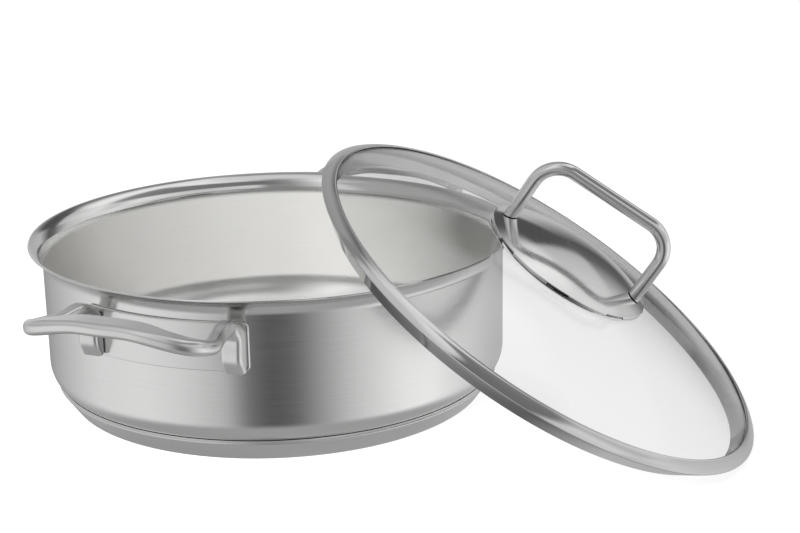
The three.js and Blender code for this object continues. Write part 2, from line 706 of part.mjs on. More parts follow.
function lid() {
  const turn = new THREE.Group();
  turn.rotation.z = radians(BOW_TURN);
  turn.add(piece('lid_glass', lidGlass(), clearGlass()));
  turn.add(piece('lid_rim', lidRim(), brushedSteel()));
  turn.add(piece('lid_handle_disc', handleDisc(), polishedSteel()));
  turn.add(piece('lid_handle_bow', handleBow(), brushedSteel()));
  screwSides.forEach((side) => {
    const label = side < 0 ? 'upper' : 'lower';
    const fastener = new THREE.Group();
    fastener.position.x = side * bowHalfSpan;
    fastener.add(piece(`${label}_screw_bush`, screwBush(), silicone()));
    fastener.add(piece(`${label}_screw_washer`, screwWasher(), brushedSteel()));
    fastener.add(piece(`${label}_handle_screw`, handleScrew(), brushedSteel()));
    turn.add(fastener);
  });

  const tilt = new THREE.Group();
  tilt.rotation.y = radians(LID_TILT);
  tilt.add(turn);

  const lean = new THREE.Group();
  lean.rotation.z = radians(LID_TILT_AZIMUTH);
  lean.position.copy(leaningPlace());
  lean.add(tilt);
  return lean;
}

const servingPan = new THREE.Group();
servingPan.add(pan(), lid());

export default servingPan;
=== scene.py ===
"""Serving pan with a leaning glass lid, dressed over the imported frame.

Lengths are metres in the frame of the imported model: the origin on the table at the pan's axis, +Z up,
the side handles along X and the lid on the -Y side.
"""
import logging
from dataclasses import dataclass, replace
from enum import Enum
from typing import Any, Mapping, Sequence

import bpy
import numpy as np
from mathutils import Matrix, Vector


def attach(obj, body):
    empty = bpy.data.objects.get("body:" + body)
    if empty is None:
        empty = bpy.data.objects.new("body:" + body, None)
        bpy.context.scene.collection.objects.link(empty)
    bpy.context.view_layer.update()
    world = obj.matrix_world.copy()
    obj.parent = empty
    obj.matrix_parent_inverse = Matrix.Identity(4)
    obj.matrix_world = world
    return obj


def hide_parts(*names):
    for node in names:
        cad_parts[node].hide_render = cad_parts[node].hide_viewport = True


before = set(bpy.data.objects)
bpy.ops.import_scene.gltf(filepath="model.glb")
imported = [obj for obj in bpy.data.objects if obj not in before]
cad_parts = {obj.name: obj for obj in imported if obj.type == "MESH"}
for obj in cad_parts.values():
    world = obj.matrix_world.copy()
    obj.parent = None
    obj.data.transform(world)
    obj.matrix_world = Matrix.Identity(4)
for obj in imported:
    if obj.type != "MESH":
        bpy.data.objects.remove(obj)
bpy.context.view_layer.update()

log = logging.getLogger("serving_pan")

MM = 0.001
SEAT_GAP = 0.3 * MM
PAN_BODY = "pan"
LID_BODY = "lid"

Array = np.ndarray


# Shader graphs


class Graph:
    """A node tree that is filled from Python expressions."""

    def __init__(self, tree: bpy.types.NodeTree) -> None:
        """Take over a node tree and empty it."""
        self.tree = tree
        tree.nodes.clear()

    def node(
        self,
        kind: str,
        settings: Mapping[str, Any] | None = None,
        inputs: Mapping[str | int, Any] | None = None,
    ) -> bpy.types.Node:
        """Add a node.

        Args:
            kind: The node's type.
            settings: Properties set before its sockets; "stops" gives a ramp's places and colours.
            inputs: Values or links by socket name or number.

        Returns:
            The new node.
        """
        node = self.tree.nodes.new(kind)
        for name, value in (settings or {}).items():
            if name == "stops":
                self._set_stops(node.color_ramp, value)
            else:
                setattr(node, name, value)
        for name, value in (inputs or {}).items():
            self.feed(node.inputs[name], value)
        return node

    def feed(self, socket: bpy.types.NodeSocket, value: Any) -> None:
        """Link a socket or set its value.

        Args:
            socket: The socket.
            value: A signal or socket to link from, or a plain value.
        """
        if isinstance(value, Signal):
            self.tree.links.new(value.socket, socket)
        elif isinstance(value, bpy.types.NodeSocket):
            self.tree.links.new(value, socket)
        else:
            socket.default_value = value

    @staticmethod
    def _set_stops(ramp: bpy.types.ColorRamp, stops: Sequence[tuple[float, float]]) -> None:
        """Give a ramp its places and grey levels.

        Args:
            ramp: The ramp.
            stops: Places and levels, in order.
        """
        while len(ramp.elements) < len(stops):
            ramp.elements.new(0.5)
        for element, (place, level) in zip(ramp.elements, stops):
            element.position = place
            element.color = (level, level, level, 1.0)

    def math(self, operation: str, *values: Any) -> "Signal":
        """Add a Math node on up to three values."""
        node = self.node("ShaderNodeMath", {"operation": operation}, dict(enumerate(values)))
        return Signal(self, node.outputs[0])

    def signal(self, node: bpy.types.Node, output: str | int = 0) -> "Signal":
        """Wrap one output of a node."""
        return Signal(self, node.outputs[output])

    def plain_sight(self) -> "Signal":
        """One for rays from the camera, straight or through glass alone, and nought for reflections.

        Returns:
            The signal.
        """
        path = self.node("ShaderNodeLightPath")
        straight = self.math("MAXIMUM", path.outputs["Is Camera Ray"], path.outputs["Is Transmission Ray"])
        return straight * self.math("LESS_THAN", path.outputs["Glossy Depth"], 0.5)

    def noise(self, size: float, detail: float) -> "Signal":
        """Soft noise on Object coordinates, in clouds or specks of about the given size.

        Args:
            size: Size in metres.
            detail: Detail of the noise.

        Returns:
            The signal.
        """
        place = self.node("ShaderNodeTexCoord")
        inputs = {"Vector": place.outputs["Object"], "Scale": 1 / size, "Detail": detail}
        return self.signal(self.node("ShaderNodeTexNoise", {}, inputs))


@dataclass(frozen=True)
class Signal:
    """One number of a shader graph, with arithmetic."""

    graph: Graph
    socket: bpy.types.NodeSocket

    def __add__(self, other: Any) -> "Signal":
        """Sum."""
        return self.graph.math("ADD", self, other)

    __radd__ = __add__

    def __sub__(self, other: Any) -> "Signal":
        """Difference."""
        return self.graph.math("SUBTRACT", self, other)

    def __rsub__(self, other: Any) -> "Signal":
        """Difference, the other way round."""
        return self.graph.math("SUBTRACT", other, self)

    def __mul__(self, other: Any) -> "Signal":
        """Product."""
        return self.graph.math("MULTIPLY", self, other)

    __rmul__ = __mul__

    def __truediv__(self, other: Any) -> "Signal":
        """Quotient."""
        return self.graph.math("DIVIDE", self, other)

    def smooth_step(self, low: float, high: float) -> "Signal":
        """Rise smoothly from 0 at low to 1 at high.

        Args:
            low: Where it starts to rise.
            high: Where it is full.

        Returns:
            The signal.
        """
        node = self.graph.node(
            "ShaderNodeMapRange",
            {"interpolation_type": "SMOOTHSTEP"},
            {"Value": self, "From Min": low, "From Max": high},
        )
        return Signal(self.graph, node.outputs[0])


def new_material(name: str) -> tuple[bpy.types.Material, Graph]:
    """Make a material without nodes, and the graph to fill it by.

    Args:
        name: Its name.

    Returns:
        The material and its graph.
    """
    made = bpy.data.materials.new(name)
    made.use_nodes = True
    return made, Graph(made.node_tree)


# Surfaces


@dataclass(frozen=True)
class Shape:
    """A closed surface: points, faces and a UV pair at each corner of a face."""

    points: Array
    quads: Array
    quad_uv: Array
    fans: Array
    fan_uv: Array

    def placed(self, place: Array) -> "Shape":
        """Carry the points by a 4 by 4 matrix: p' = R p + t."""
        return replace(self, points=self.points @ place[:3, :3].T + place[:3, 3])

    def build(self, name: str, material: bpy.types.Material, sharp_degrees: float) -> bpy.types.Object:
        """Make the mesh object.

        Args:
            name: Name of the piece.
            material: Its finish.
            sharp_degrees: Edges that turn more than this stay sharp.

        Returns:
            The new object, linked to the scene, at the origin.
        """
        mesh = bpy.data.meshes.new(name)
        corners = np.concatenate([self.quads.ravel(), self.fans.ravel()])
        quad_starts = 4 * np.arange(len(self.quads))
        fan_starts = self.quads.size + 3 * np.arange(len(self.fans))
        starts = np.concatenate([quad_starts, fan_starts])
        uv = np.concatenate([self.quad_uv.reshape(-1, 2), self.fan_uv.reshape(-1, 2)])
        mesh.vertices.add(len(self.points))
        mesh.vertices.foreach_set("co", self.points.ravel().astype(np.float32))
        mesh.loops.add(len(corners))
        mesh.loops.foreach_set("vertex_index", corners.astype(np.int32))
        mesh.polygons.add(len(starts))
        mesh.polygons.foreach_set("loop_start", starts.astype(np.int32))
        mesh.polygons.foreach_set("use_smooth", np.ones(len(starts), dtype=bool))
        mesh.uv_layers.new(name="length_and_girth")
        mesh.uv_layers[0].data.foreach_set("uv", uv.ravel().astype(np.float32))
        mesh.update(calc_edges=True)
        mesh.validate()
        mesh.set_sharp_from_angle(angle=np.radians(sharp_degrees))
        mesh.materials.append(material)
        made = bpy.data.objects.new(name, mesh)
        bpy.context.scene.collection.objects.link(made)
        return made


def grid_shape(
    points: Array,
    uv: Array,
    wrap_rows: bool = False,
    first_pole: Array | None = None,
    last_pole: Array | None = None,
) -> Shape:
    """Join a grid of points to a closed surface.

    A face joins the points (i, j), (i, j + 1), (i + 1, j + 1) and (i + 1, j). Columns run round and close
    on themselves, and rows close on themselves where they wrap. A pole closes the first or last row by a
    fan of triangles.

    Args:
        points: Rows by columns by 3.
        uv: One more column than the points, and one more row where rows wrap, by 2.
        wrap_rows: Whether the last row joins the first.
        first_pole: Point that closes the first row.
        last_pole: Point that closes the last row.

    Returns:
        The surface.
    """
    rows, columns = points.shape[:2]
    bands = rows if wrap_rows else rows - 1
    i, j = np.meshgrid(np.arange(bands), np.arange(columns), indexing="ij")
    below = [(i, j), (i, j + 1), (i + 1, j + 1), (i + 1, j)]
    quads = np.stack([(a % rows) * columns + b % columns for a, b in below], axis=-1).reshape(-1, 4)
    quad_uv = np.stack([uv[a, b] for a, b in below], axis=-2).reshape(-1, 4, 2)
    flat = points.reshape(-1, 3)
    fans: list[Array] = []
    fan_uv: list[Array] = []
    around = np.arange(columns)
    for pole, row, step in ((first_pole, 0, 1), (last_pole, rows - 1, -1)):
        if pole is None:
            continue
        tip = np.full(columns, len(flat))
        flat = np.vstack([flat, pole])
        edge = row * columns + around
        following = row * columns + (around + 1) % columns
        fans.append(np.stack([tip, following, edge][::step], axis=1))
        middle = (uv[row, 1:] + uv[row, :-1]) / 2
        fan_uv.append(np.stack([middle, uv[row, 1:], uv[row, :-1]][::step], axis=1))
    no_fans = np.zeros((0, 3), dtype=int)
    no_fan_uv = np.zeros((0, 3, 2))
    return Shape(
        flat,
        quads,
        quad_uv,
        np.concatenate(fans) if fans else no_fans,
        np.concatenate(fan_uv) if fan_uv else no_fan_uv,
    )


def run_length(points: Array) -> Array:
    """Length along a row of points from its first, as the running sum of the chords."""
    return np.concatenate([[0.0], np.cumsum(np.linalg.norm(np.diff(points, axis=0), axis=1))])


def arc(
    centre: tuple[float, float],
    radii: tuple[float, float],
    start: float,
    end: float,
    steps: int,
) -> Array:
    """Points of an ellipse's arc: centre + (a cos t, b sin t), t in degrees from start to end."""
    t = np.radians(np.linspace(start, end, steps + 1))
    return np.stack([centre[0] + radii[0] * np.cos(t), centre[1] + radii[1] * np.sin(t)], axis=1)


def turned(profile: Array, segments: int) -> Shape:
    """Turn a profile about Z: point (i, j) = (r_i cos t_j, r_i sin t_j, z_i), t_j = 2 pi j / segments.

    Args:
        profile: Rows of radius and height, going up on the outside. It starts and ends on the axis, or
            it is a ring that closes on itself.
        segments: Steps round the axis.

    Returns:
        The turned surface. Its UV is the length round the widest circle and along the profile.
    """
    on_axis = profile[0, 0] <= 0
    rows = profile[1:-1] if on_axis else profile
    t = 2 * np.pi * np.arange(segments) / segments
    radius = rows[:, :1]
    height = np.broadcast_to(rows[:, 1:], (len(rows), segments))
    points = np.stack([radius * np.cos(t), radius * np.sin(t), height], axis=-1)
    along = run_length(rows if on_axis else np.vstack([rows, rows[:1]]))
    girth = profile[:, 0].max() * 2 * np.pi * np.arange(segments + 1) / segments
    uv = np.stack(np.meshgrid(girth, along), axis=-1)
    if not on_axis:
        return grid_shape(points, uv, wrap_rows=True)
    first = np.array([0.0, 0.0, profile[0, 1]])
    last = np.array([0.0, 0.0, profile[-1, 1]])
    return grid_shape(points, uv, first_pole=first, last_pole=last)


def unit(vectors: Array) -> Array:
    """Vectors divided by their lengths."""
    return vectors / np.linalg.norm(vectors, axis=-1, keepdims=True)


def smooth_path(stations: Array, steps: int) -> tuple[Array, Array]:
    """Carry a centripetal Catmull-Rom curve through a row of stations.

    Each span is the cubic between two stations whose end slopes are the three-point differences over
    knots spaced by the square root of the chord. The row is carried on past each end by reflecting the
    second station in the first.

    Args:
        stations: Points that the curve passes.
        steps: Points to each span.

    Returns:
        Points of the curve and its unit tangents.
    """
    row = np.vstack([2 * stations[0] - stations[1], stations, 2 * stations[-1] - stations[-2]])
    knots = np.sqrt(np.linalg.norm(np.diff(row, axis=0), axis=1))[:, None]
    p0, p1, p2, p3 = row[:-3], row[1:-2], row[2:-1], row[3:]
    d0, d1, d2 = knots[:-2], knots[1:-1], knots[2:]
    slope1 = ((p1 - p0) / d0 - (p2 - p0) / (d0 + d1) + (p2 - p1) / d1) * d1
    slope2 = ((p2 - p1) / d1 - (p3 - p1) / (d1 + d2) + (p3 - p2) / d2) * d1
    square = 3 * (p2 - p1) - 2 * slope1 - slope2
    cube = 2 * (p1 - p2) + slope1 + slope2
    span, share = span_shares(len(stations) - 1, steps)
    share = share[:, None]
    points = p1[span] + (slope1[span] + (square[span] + cube[span] * share) * share) * share
    tangents = slope1[span] + (2 * square[span] + 3 * cube[span] * share) * share
    return points, unit(tangents)


def span_shares(spans: int, steps: int) -> tuple[Array, Array]:
    """Span number and share of the span for each point of a path with so many steps to a span.

    Args:
        spans: Number of spans.
        steps: Steps to a span.

    Returns:
        The span numbers and the shares.
    """
    place = np.arange(spans * steps + 1) / steps
    span = np.minimum(place.astype(int), spans - 1)
    return span, place - span


def rounded_outline(across: Array, upright: Array, turns: int) -> tuple[Array, Array, Array]:
    """Set out a rounded rectangle, whose points are x = s (half - r) + r cos a, and y likewise.

    Four quarter rounds follow each other, with points on the flats between them.

    Args:
        across: Places of the points on the upper flat, from 1 towards -1.
        upright: Places of the points on the left flat, likewise.
        turns: Points to each quarter round.

    Returns:
        The signs s in x, those in y, and the angles a, a value to a point.
    """
    corner, wide, tall = np.ones(turns), np.ones(len(across)), np.ones(len(upright))
    x_sign = np.concatenate([corner, across, -corner, -tall, -corner, -across, corner, tall])
    y_sign = np.concatenate([corner, wide, corner, upright, -corner, -wide, -corner, -upright])
    quarter = np.linspace(0, 90, turns)
    angles = [
        np.append(quarter, np.full(len(flat), 90.0)) + 90 * number
        for number, flat in enumerate((across, upright) * 2)
    ]
    return x_sign, y_sign, np.radians(np.concatenate(angles))


def swept(centres: Array, across: Array, up: Array, x: Array, y: Array) -> Shape:
    """Carry a section along a path: point (i, j) = c_i + x_ij across_i + y_ij up_i, closed at both ends.

    Args:
        centres: Points of the path.
        across: Unit vectors across the bar, equal to up crossed with the path's tangent.
        up: Unit vectors of the bar's upper side.
        x: Section's places along across, rows by section points.
        y: Section's places along up, rows by section points.

    Returns:
        The swept surface. Its UV is the length along the path and the length round the section.
    """
    points = centres[:, None] + x[..., None] * across[:, None] + y[..., None] * up[:, None]
    middle = len(points) // 2
    girth = run_length(np.vstack([points[middle], points[middle, :1]]))
    along = run_length(centres)
    uv = np.stack(np.meshgrid(along, girth, indexing="ij"), axis=-1)
    return grid_shape(points, uv, first_pole=points[0].mean(0), last_pole=points[-1].mean(0))


# Finishes


class Grain(Enum):
    """How a steel surface was worked: length and width of its lines in metres, and their depth."""

    TURNED = (40 * MM, 0.3 * MM, 0.016)
    LENGTHWISE = (60 * MM, 0.4 * MM, 0.008)
    POLISHED = (60 * MM, 0.8 * MM, 0.003)


@dataclass(frozen=True)
class Steel:
    """Stainless steel with fine grinding lines."""

    name: str
    grain: Grain
    colour: tuple[float, float, float] = (0.72, 0.72, 0.715)
    shade: float = 0.06
    roughness: float = 0.2
    roughness_spread: float = 0.1
    cloud_size: float = 60 * MM
    spread: float = 0.0
    metallic: float = 1.0
    zones: tuple["Zone", ...] = ()

    def lines(self, graph: Graph, place: bpy.types.Node) -> Signal:
        """Noise drawn out along the grain.

        Noise is read at (u / length, v / width), where u runs along the grain: round a turned piece or
        along a bar.

        Args:
            graph: Graph of the material.
            place: Node that gives the lengths along and across the grain.

        Returns:
            The signal.
        """
        length, width, _ = self.grain.value
        stretched = graph.node(
            "ShaderNodeMapping",
            {"vector_type": "POINT"},
            {"Vector": place.outputs[0], "Scale": (1 / length, 1 / width, 1.0)},
        )
        noise = graph.node(
            "ShaderNodeTexNoise",
            {"noise_dimensions": "2D"},
            {"Vector": stretched.outputs[0], "Scale": 1.0, "Detail": 3.0, "Roughness": 0.6},
        )
        return graph.signal(noise)

    def shader(self, graph: Graph, place: bpy.types.Node) -> bpy.types.NodeSocket:
        """Add the steel's shader: lines and clouds shift tone and roughness, lines the normal.

        Args:
            graph: Graph of the material.
            place: Node that gives the lengths along and across the grain.

        Returns:
            The shader's socket. The spread draws its highlights out across a turned grain.
        """
        lines = self.lines(graph, place)
        clouds = graph.noise(self.cloud_size, 2.0)
        wear = (lines - 0.5) * 1.4 + (clouds - 0.5) * 0.6
        tinted = graph.node(
            "ShaderNodeVectorMath",
            {"operation": "SCALE"},
            {0: self.colour, "Scale": wear * (2 * self.shade) + 1.0},
        )
        bump = graph.node(
            "ShaderNodeBump",
            {},
            {"Strength": self.grain.value[2], "Distance": 0.2 * MM, "Height": lines},
        )
        shader = graph.node(
            "ShaderNodeBsdfPrincipled",
            {},
            {
                "Base Color": tinted.outputs[0],
                "Metallic": self.metallic,
                "Roughness": wear * self.roughness_spread + self.roughness,
                "Anisotropic": self.spread,
                "Anisotropic Rotation": 0.25,
                "Normal": bump.outputs[0],
            },
        )
        return shader.outputs[0]

    def material(self) -> bpy.types.Material:
        """Make the material, with the steel of each zone mixed in over its band.

        Returns:
            The new material.
        """
        made, graph = new_material(self.name)
        place = graph.node("ShaderNodeUVMap", {"uv_map": "length_and_girth"})
        lengthwise = self.grain is Grain.LENGTHWISE
        lengths = graph.node("ShaderNodeSeparateXYZ", {}, {0: place.outputs[0]})
        along = graph.signal(lengths, 0 if lengthwise else 1)
        surface = self.shader(graph, place)
        for zone in self.zones:
            other = zone.steel.shader(graph, place)
            mix = graph.node("ShaderNodeMixShader", {}, {0: zone.share(along), 1: surface, 2: other})
            surface = mix.outputs[0]
        graph.node("ShaderNodeOutputMaterial", {}, {"Surface": surface})
        return made


@dataclass(frozen=True)
class Zone:
    """A band with its own steel, from one length along a turned profile or a bar's path to another."""

    start: float
    end: float
    steel: Steel
    edge: float = 0.4 * MM

    def share(self, along: Signal) -> Signal:
        """One inside the band and nought outside, with soft edges."""
        rise = along.smooth_step(self.start - self.edge, self.start + self.edge)
        return rise - along.smooth_step(self.end - self.edge, self.end + self.edge)


@dataclass(frozen=True)
class Glass:
    """Clear tempered glass with a faint grey body."""

    name: str = "clear_lid_glass"
    tint: tuple[float, float, float] = (0.865, 0.87, 0.865)
    roughness: float = 0.01
    ior: float = 1.5
    gloss: float = 0.25
    smear_size: float = 30 * MM

    def material(self) -> bpy.types.Material:
        """Make the material: a transmitting body whose surface has faint wiping marks.

        Returns:
            The new material.
        """
        made, graph = new_material(self.name)
        smear = graph.noise(self.smear_size, 3.0)
        shader = graph.node(
            "ShaderNodeBsdfPrincipled",
            {},
            {
                "Base Color": self.tint + (1.0,),
                "Roughness": smear * self.roughness,
                "Transmission Weight": 1.0,
                "IOR": self.ior,
                "Specular IOR Level": self.gloss,
            },
        )
        graph.node("ShaderNodeOutputMaterial", {}, {"Surface": shader.outputs[0]})
        return made


@dataclass(frozen=True)
class Speckled:
    """Plain surface of a small or hidden piece, with fine specks."""

    name: str
    colour: tuple[float, float, float]
    roughness: float
    metallic: float = 1.0
    darkest: float = 0.85
    palest: float = 1.0
    speck_size: float = 1.5 * MM
    detail: float = 3.0
    roughness_spread: float = 0.2

    def toned(self, share: float) -> tuple[float, ...]:
        """Colour at a share of its level."""
        return tuple(share * level for level in self.colour) + (1.0,)

    def material(self) -> bpy.types.Material:
        """Make the material: specks shift tone and roughness.

        Returns:
            The new material.
        """
        made, graph = new_material(self.name)
        specks = graph.noise(self.speck_size, self.detail)
        tones = {0: specks, 6: self.toned(self.darkest), 7: self.toned(self.palest)}
        mix = graph.node("ShaderNodeMix", {"data_type": "RGBA"}, tones)
        shader = graph.node(
            "ShaderNodeBsdfPrincipled",
            {},
            {
                "Base Color": mix.outputs[2],
                "Metallic": self.metallic,
                "Roughness": (specks - 0.5) * self.roughness_spread + self.roughness,
            },
        )
        graph.node("ShaderNodeOutputMaterial", {}, {"Surface": shader.outputs[0]})
        return made


SILICONE = Speckled(
    "dark_silicone",
    (0.03, 0.032, 0.035),
    0.75,
    metallic=0.0,
    darkest=1.0,
    palest=1.6,
    speck_size=0.6 * MM,
    detail=2.0,
)
CORE_ALUMINIUM = Speckled("rolled_aluminium", (0.66, 0.67, 0.68), 0.5)
FASTENER_STEEL = Speckled("plain_fastener_steel", (0.6, 0.6, 0.6), 0.3)


@dataclass(frozen=True)
class Finishes:
    """The materials of the whole object, made once."""

    wall: bpy.types.Material
    base: bpy.types.Material
    bar: bpy.types.Material
    plate: bpy.types.Material
    rim: bpy.types.Material
    glass: bpy.types.Material
    rubber: bpy.types.Material
    core: bpy.types.Material
    fastener: bpy.types.Material

    @classmethod
    def make(cls, bowl_zones: tuple[Zone, ...]) -> "Finishes":
        """Make every finish.

        Args:
            bowl_zones: Bands of the bowl that are finished unlike its outside.

        Returns:
            The finishes.
        """
        wall = Steel("satin_wall_steel", Grain.TURNED, roughness=0.19, zones=bowl_zones)
        return cls(
            wall=wall.material(),
            base=Steel("brushed_base_steel", Grain.TURNED, roughness=0.3).material(),
            bar=Steel("satin_handle_steel", Grain.LENGTHWISE, roughness=0.3).material(),
            plate=Steel("satin_plate_steel", Grain.POLISHED, roughness=0.24, shade=0.02).material(),
            rim=Steel("brushed_rim_steel", Grain.TURNED, colour=(0.6, 0.6, 0.6), roughness=0.07).material(),
            glass=Glass().material(),
            rubber=SILICONE.material(),
            core=CORE_ALUMINIUM.material(),
            fastener=FASTENER_STEEL.material(),
        )


def dress(
    shape: Shape,
    name: str,
    material: bpy.types.Material,
    body: str,
    node: str,
    sharp_degrees: float = 28.0,
) -> bpy.types.Object:
    """Build a piece that stands for a CAD node.

    Args:
        shape: Its surface.
        name: Its name.
        material: Its finish.
        body: The body that it moves with.
        node: The CAD node that it replaces.
        sharp_degrees: Edges that turn more than this stay sharp.

    Returns:
        The new object.
    """
    made = shape.build(name, material, sharp_degrees)
    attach(made, body)
    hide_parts(node)
    triangles = 2 * len(shape.quads) + len(shape.fans)
    log.info("%s: %d triangles, stands for %s on %s", name, triangles, node, body)
    return made


def dress_node(node: str, material: bpy.types.Material) -> None:
    """Give a CAD node that stays in view its finish.

    Args:
        node: The CAD node.
        material: Its finish.
    """
    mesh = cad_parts[node].data
    mesh.materials.clear()
    mesh.materials.append(material)
    log.info("%s: CAD solid kept, finish %s", node, material.name)


# Pan


LIP_STEEL = Steel("polished_lip_steel", Grain.POLISHED, roughness=0.12)
INSIDE_STEEL = Steel(
    "satin_inside_steel", Grain.TURNED, colour=(0.58, 0.575, 0.56), roughness=0.42, spread=0.85, metallic=0.5
)
FLOOR_STEEL = Steel("satin_floor_steel", Grain.TURNED, colour=(0.92, 0.92, 0.91), roughness=0.3, spread=0.7)


@dataclass(frozen=True)
class Pan:
    """Drawn bowl with a flared lip, over a capsule base."""

    inner_radius: float = 140 * MM
    wall: float = 1.2 * MM
    height: float = 99.8 * MM
    lip_overhang: float = 9 * MM
    lip_flare_height: float = 12 * MM
    lip_end_angle: float = 68.0
    floor_underside: float = 8 * MM
    knuckle_reach: float = 20.2 * MM
    knuckle_height: float = 18.4 * MM
    cap_height: float = 12.9 * MM
    cap_ledge: float = 1.7 * MM
    cap_ledge_rise: float = 0.9 * MM
    cap_edge: float = 4 * MM
    cap_foot_round: float = 1.6 * MM
    cap_top_round: float = 0.8 * MM
    cap_sheet: float = 0.8 * MM
    core_overhang: float = 4.3 * MM
    middle_radius: float = 60 * MM
    segments: int = 256

    @property
    def outer_radius(self) -> float:
        """Radius of the outer wall."""
        return self.inner_radius + self.wall

    @property
    def flare_start(self) -> float:
        """Height at which the lip's flare starts."""
        return self.height - self.lip_flare_height

    def knuckle(self, offset: float, start: float, end: float, steps: int) -> Array:
        """Quarter ellipse between floor and wall, grown outward by an offset."""
        centre = (self.outer_radius - self.knuckle_reach, self.floor_underside + self.knuckle_height)
        return arc(centre, (self.knuckle_reach + offset, self.knuckle_height + offset), start, end, steps)

    def profile(self) -> tuple[Array, dict[str, int]]:
        """Outline of the bowl from the middle of its underside, outside first.

        Returns:
            Rows of radius and height, and the rows at which the cut edge, the inner flare, the inner
            wall and the inner knuckle start.
        """
        floor_top = self.floor_underside + self.wall
        rise = self.lip_flare_height / np.sin(np.radians(self.lip_end_angle))
        throw = self.lip_overhang / (1 - np.cos(np.radians(self.lip_end_angle)))
        centre = (self.inner_radius + throw, self.flare_start)
        end = 180 - self.lip_end_angle
        outer = arc(centre, (throw - self.wall, rise - self.wall), 180, end, 16)
        inner = arc(centre, (throw, rise), end, 180, 16)
        runs = [
            np.array([[0.0, self.floor_underside], [self.middle_radius, self.floor_underside]]),
            np.vstack([self.knuckle(0.0, -90, 0, 20), outer[:-1]]),
            self.rounded_edge(outer, inner),
            inner[1:],
            self.knuckle(-self.wall, 0, -90, 20),
            np.array([[self.middle_radius, floor_top], [0.0, floor_top]]),
        ]
        starts = np.cumsum([len(run) for run in runs])
        names = ("edge", "flare", "wall", "knuckle")
        rows = (starts[1], starts[2], starts[3] - 1, starts[3])
        return np.vstack(runs), dict(zip(names, rows))

    def zones(self) -> tuple[Zone, ...]:
        """Finishes inside the bowl: polished lip, semi-matt wall, satin knuckle and floor.

        Returns:
            The bands, in order along the profile.
        """
        profile, rows = self.profile()
        along = run_length(profile[1:-1])
        start = {name: along[row - 1] for name, row in rows.items()}
        return (
            Zone(start["edge"], start["wall"], LIP_STEEL),
            Zone(start["wall"], start["knuckle"], INSIDE_STEEL, 2 * MM),
            Zone(start["knuckle"], along[-1] + 1.0, FLOOR_STEEL, 2 * MM),
        )

    def shell(self) -> Shape:
        """Bowl: floor, knuckle, wall and flare outside, then the same inside by one wall's thickness."""
        return turned(self.profile()[0], self.segments)

    def rounded_edge(self, outer: Array, inner: Array) -> Array:
        """Cut edge of the lip: both corners drawn in by a fifth of the wall, along sheet and edge.

        Args:
            outer: Profile of the outside, up to the edge.
            inner: Profile of the inside, from the edge.

        Returns:
            Rows of radius and height.
        """
        across = inner[0] - outer[-1]
        inward = unit(outer[-2] - outer[-1]) * self.wall
        shares = np.array([[0.0, 0.2], [0.06, 0.06], [0.2, 0.0], [0.8, 0.0], [0.94, 0.06], [1.0, 0.2]])
        return outer[-1] + shares[:, :1] * across + shares[:, 1:] * inward

    @property
    def cap_top_radius(self) -> float:
        """Radius of the cap's top edge: a ledge out from the knuckle at that height.

        Returns:
            The radius.
        """
        below = self.floor_underside + self.knuckle_height - self.cap_height
        angle = np.arcsin(below / (self.knuckle_height + SEAT_GAP))
        reach = (self.knuckle_reach + SEAT_GAP) * np.cos(angle)
        return self.outer_radius - self.knuckle_reach + reach + self.cap_ledge

    def cap(self) -> Shape:
        """Cap of the base: flat foot, rounded foot edge, flared side, rounded top and its inside.

        Returns:
            The cap's surface.
        """
        low, high = self.knuckle_height + SEAT_GAP, self.knuckle_reach + SEAT_GAP
        inner_top = self.cap_height + self.cap_ledge_rise
        knuckle_top = self.floor_underside + self.knuckle_height
        top_angle = -np.degrees(np.arcsin((knuckle_top - inner_top) / low))
        pocket_angle = -np.degrees(np.arccos((self.core_overhang + SEAT_GAP) / high))
        inner = self.knuckle(SEAT_GAP, top_angle, pocket_angle, 8)
        core_radius = self.outer_radius - self.knuckle_reach + self.core_overhang
        pocket = [core_radius + SEAT_GAP, self.middle_radius, 0.0]
        foot = (core_radius + self.cap_edge - self.cap_foot_round, self.cap_foot_round)
        foot_round = arc(foot, (self.cap_foot_round, self.cap_foot_round), -90, -25, 8)
        top = (self.cap_top_radius - self.cap_top_round, self.cap_height - self.cap_top_round)
        top_round = arc(top, (self.cap_top_round, self.cap_top_round), -20, 60, 8)
        profile = np.vstack(
            [
                [[0.0, 0.0], [self.middle_radius, 0.0]],
                foot_round,
                top_round,
                inner,
                np.stack([pocket, np.full(3, self.cap_sheet)], axis=1),
            ]
        )
        return turned(profile, self.segments)

    def build(self, finishes: Finishes) -> None:
        """Build and dress the bowl and its base.

        Args:
            finishes: Materials of the whole object.
        """
        dress(self.shell(), "bowl", finishes.wall, PAN_BODY, "pan_shell")
        dress(self.cap(), "capsule_base", finishes.base, PAN_BODY, "base_cap")
        dress_node("base_core", finishes.core)


# Side handles


class Side(Enum):
    """Which side of the pan, with the turn about Z in degrees."""

    RIGHT = 0.0
    LEFT = 180.0


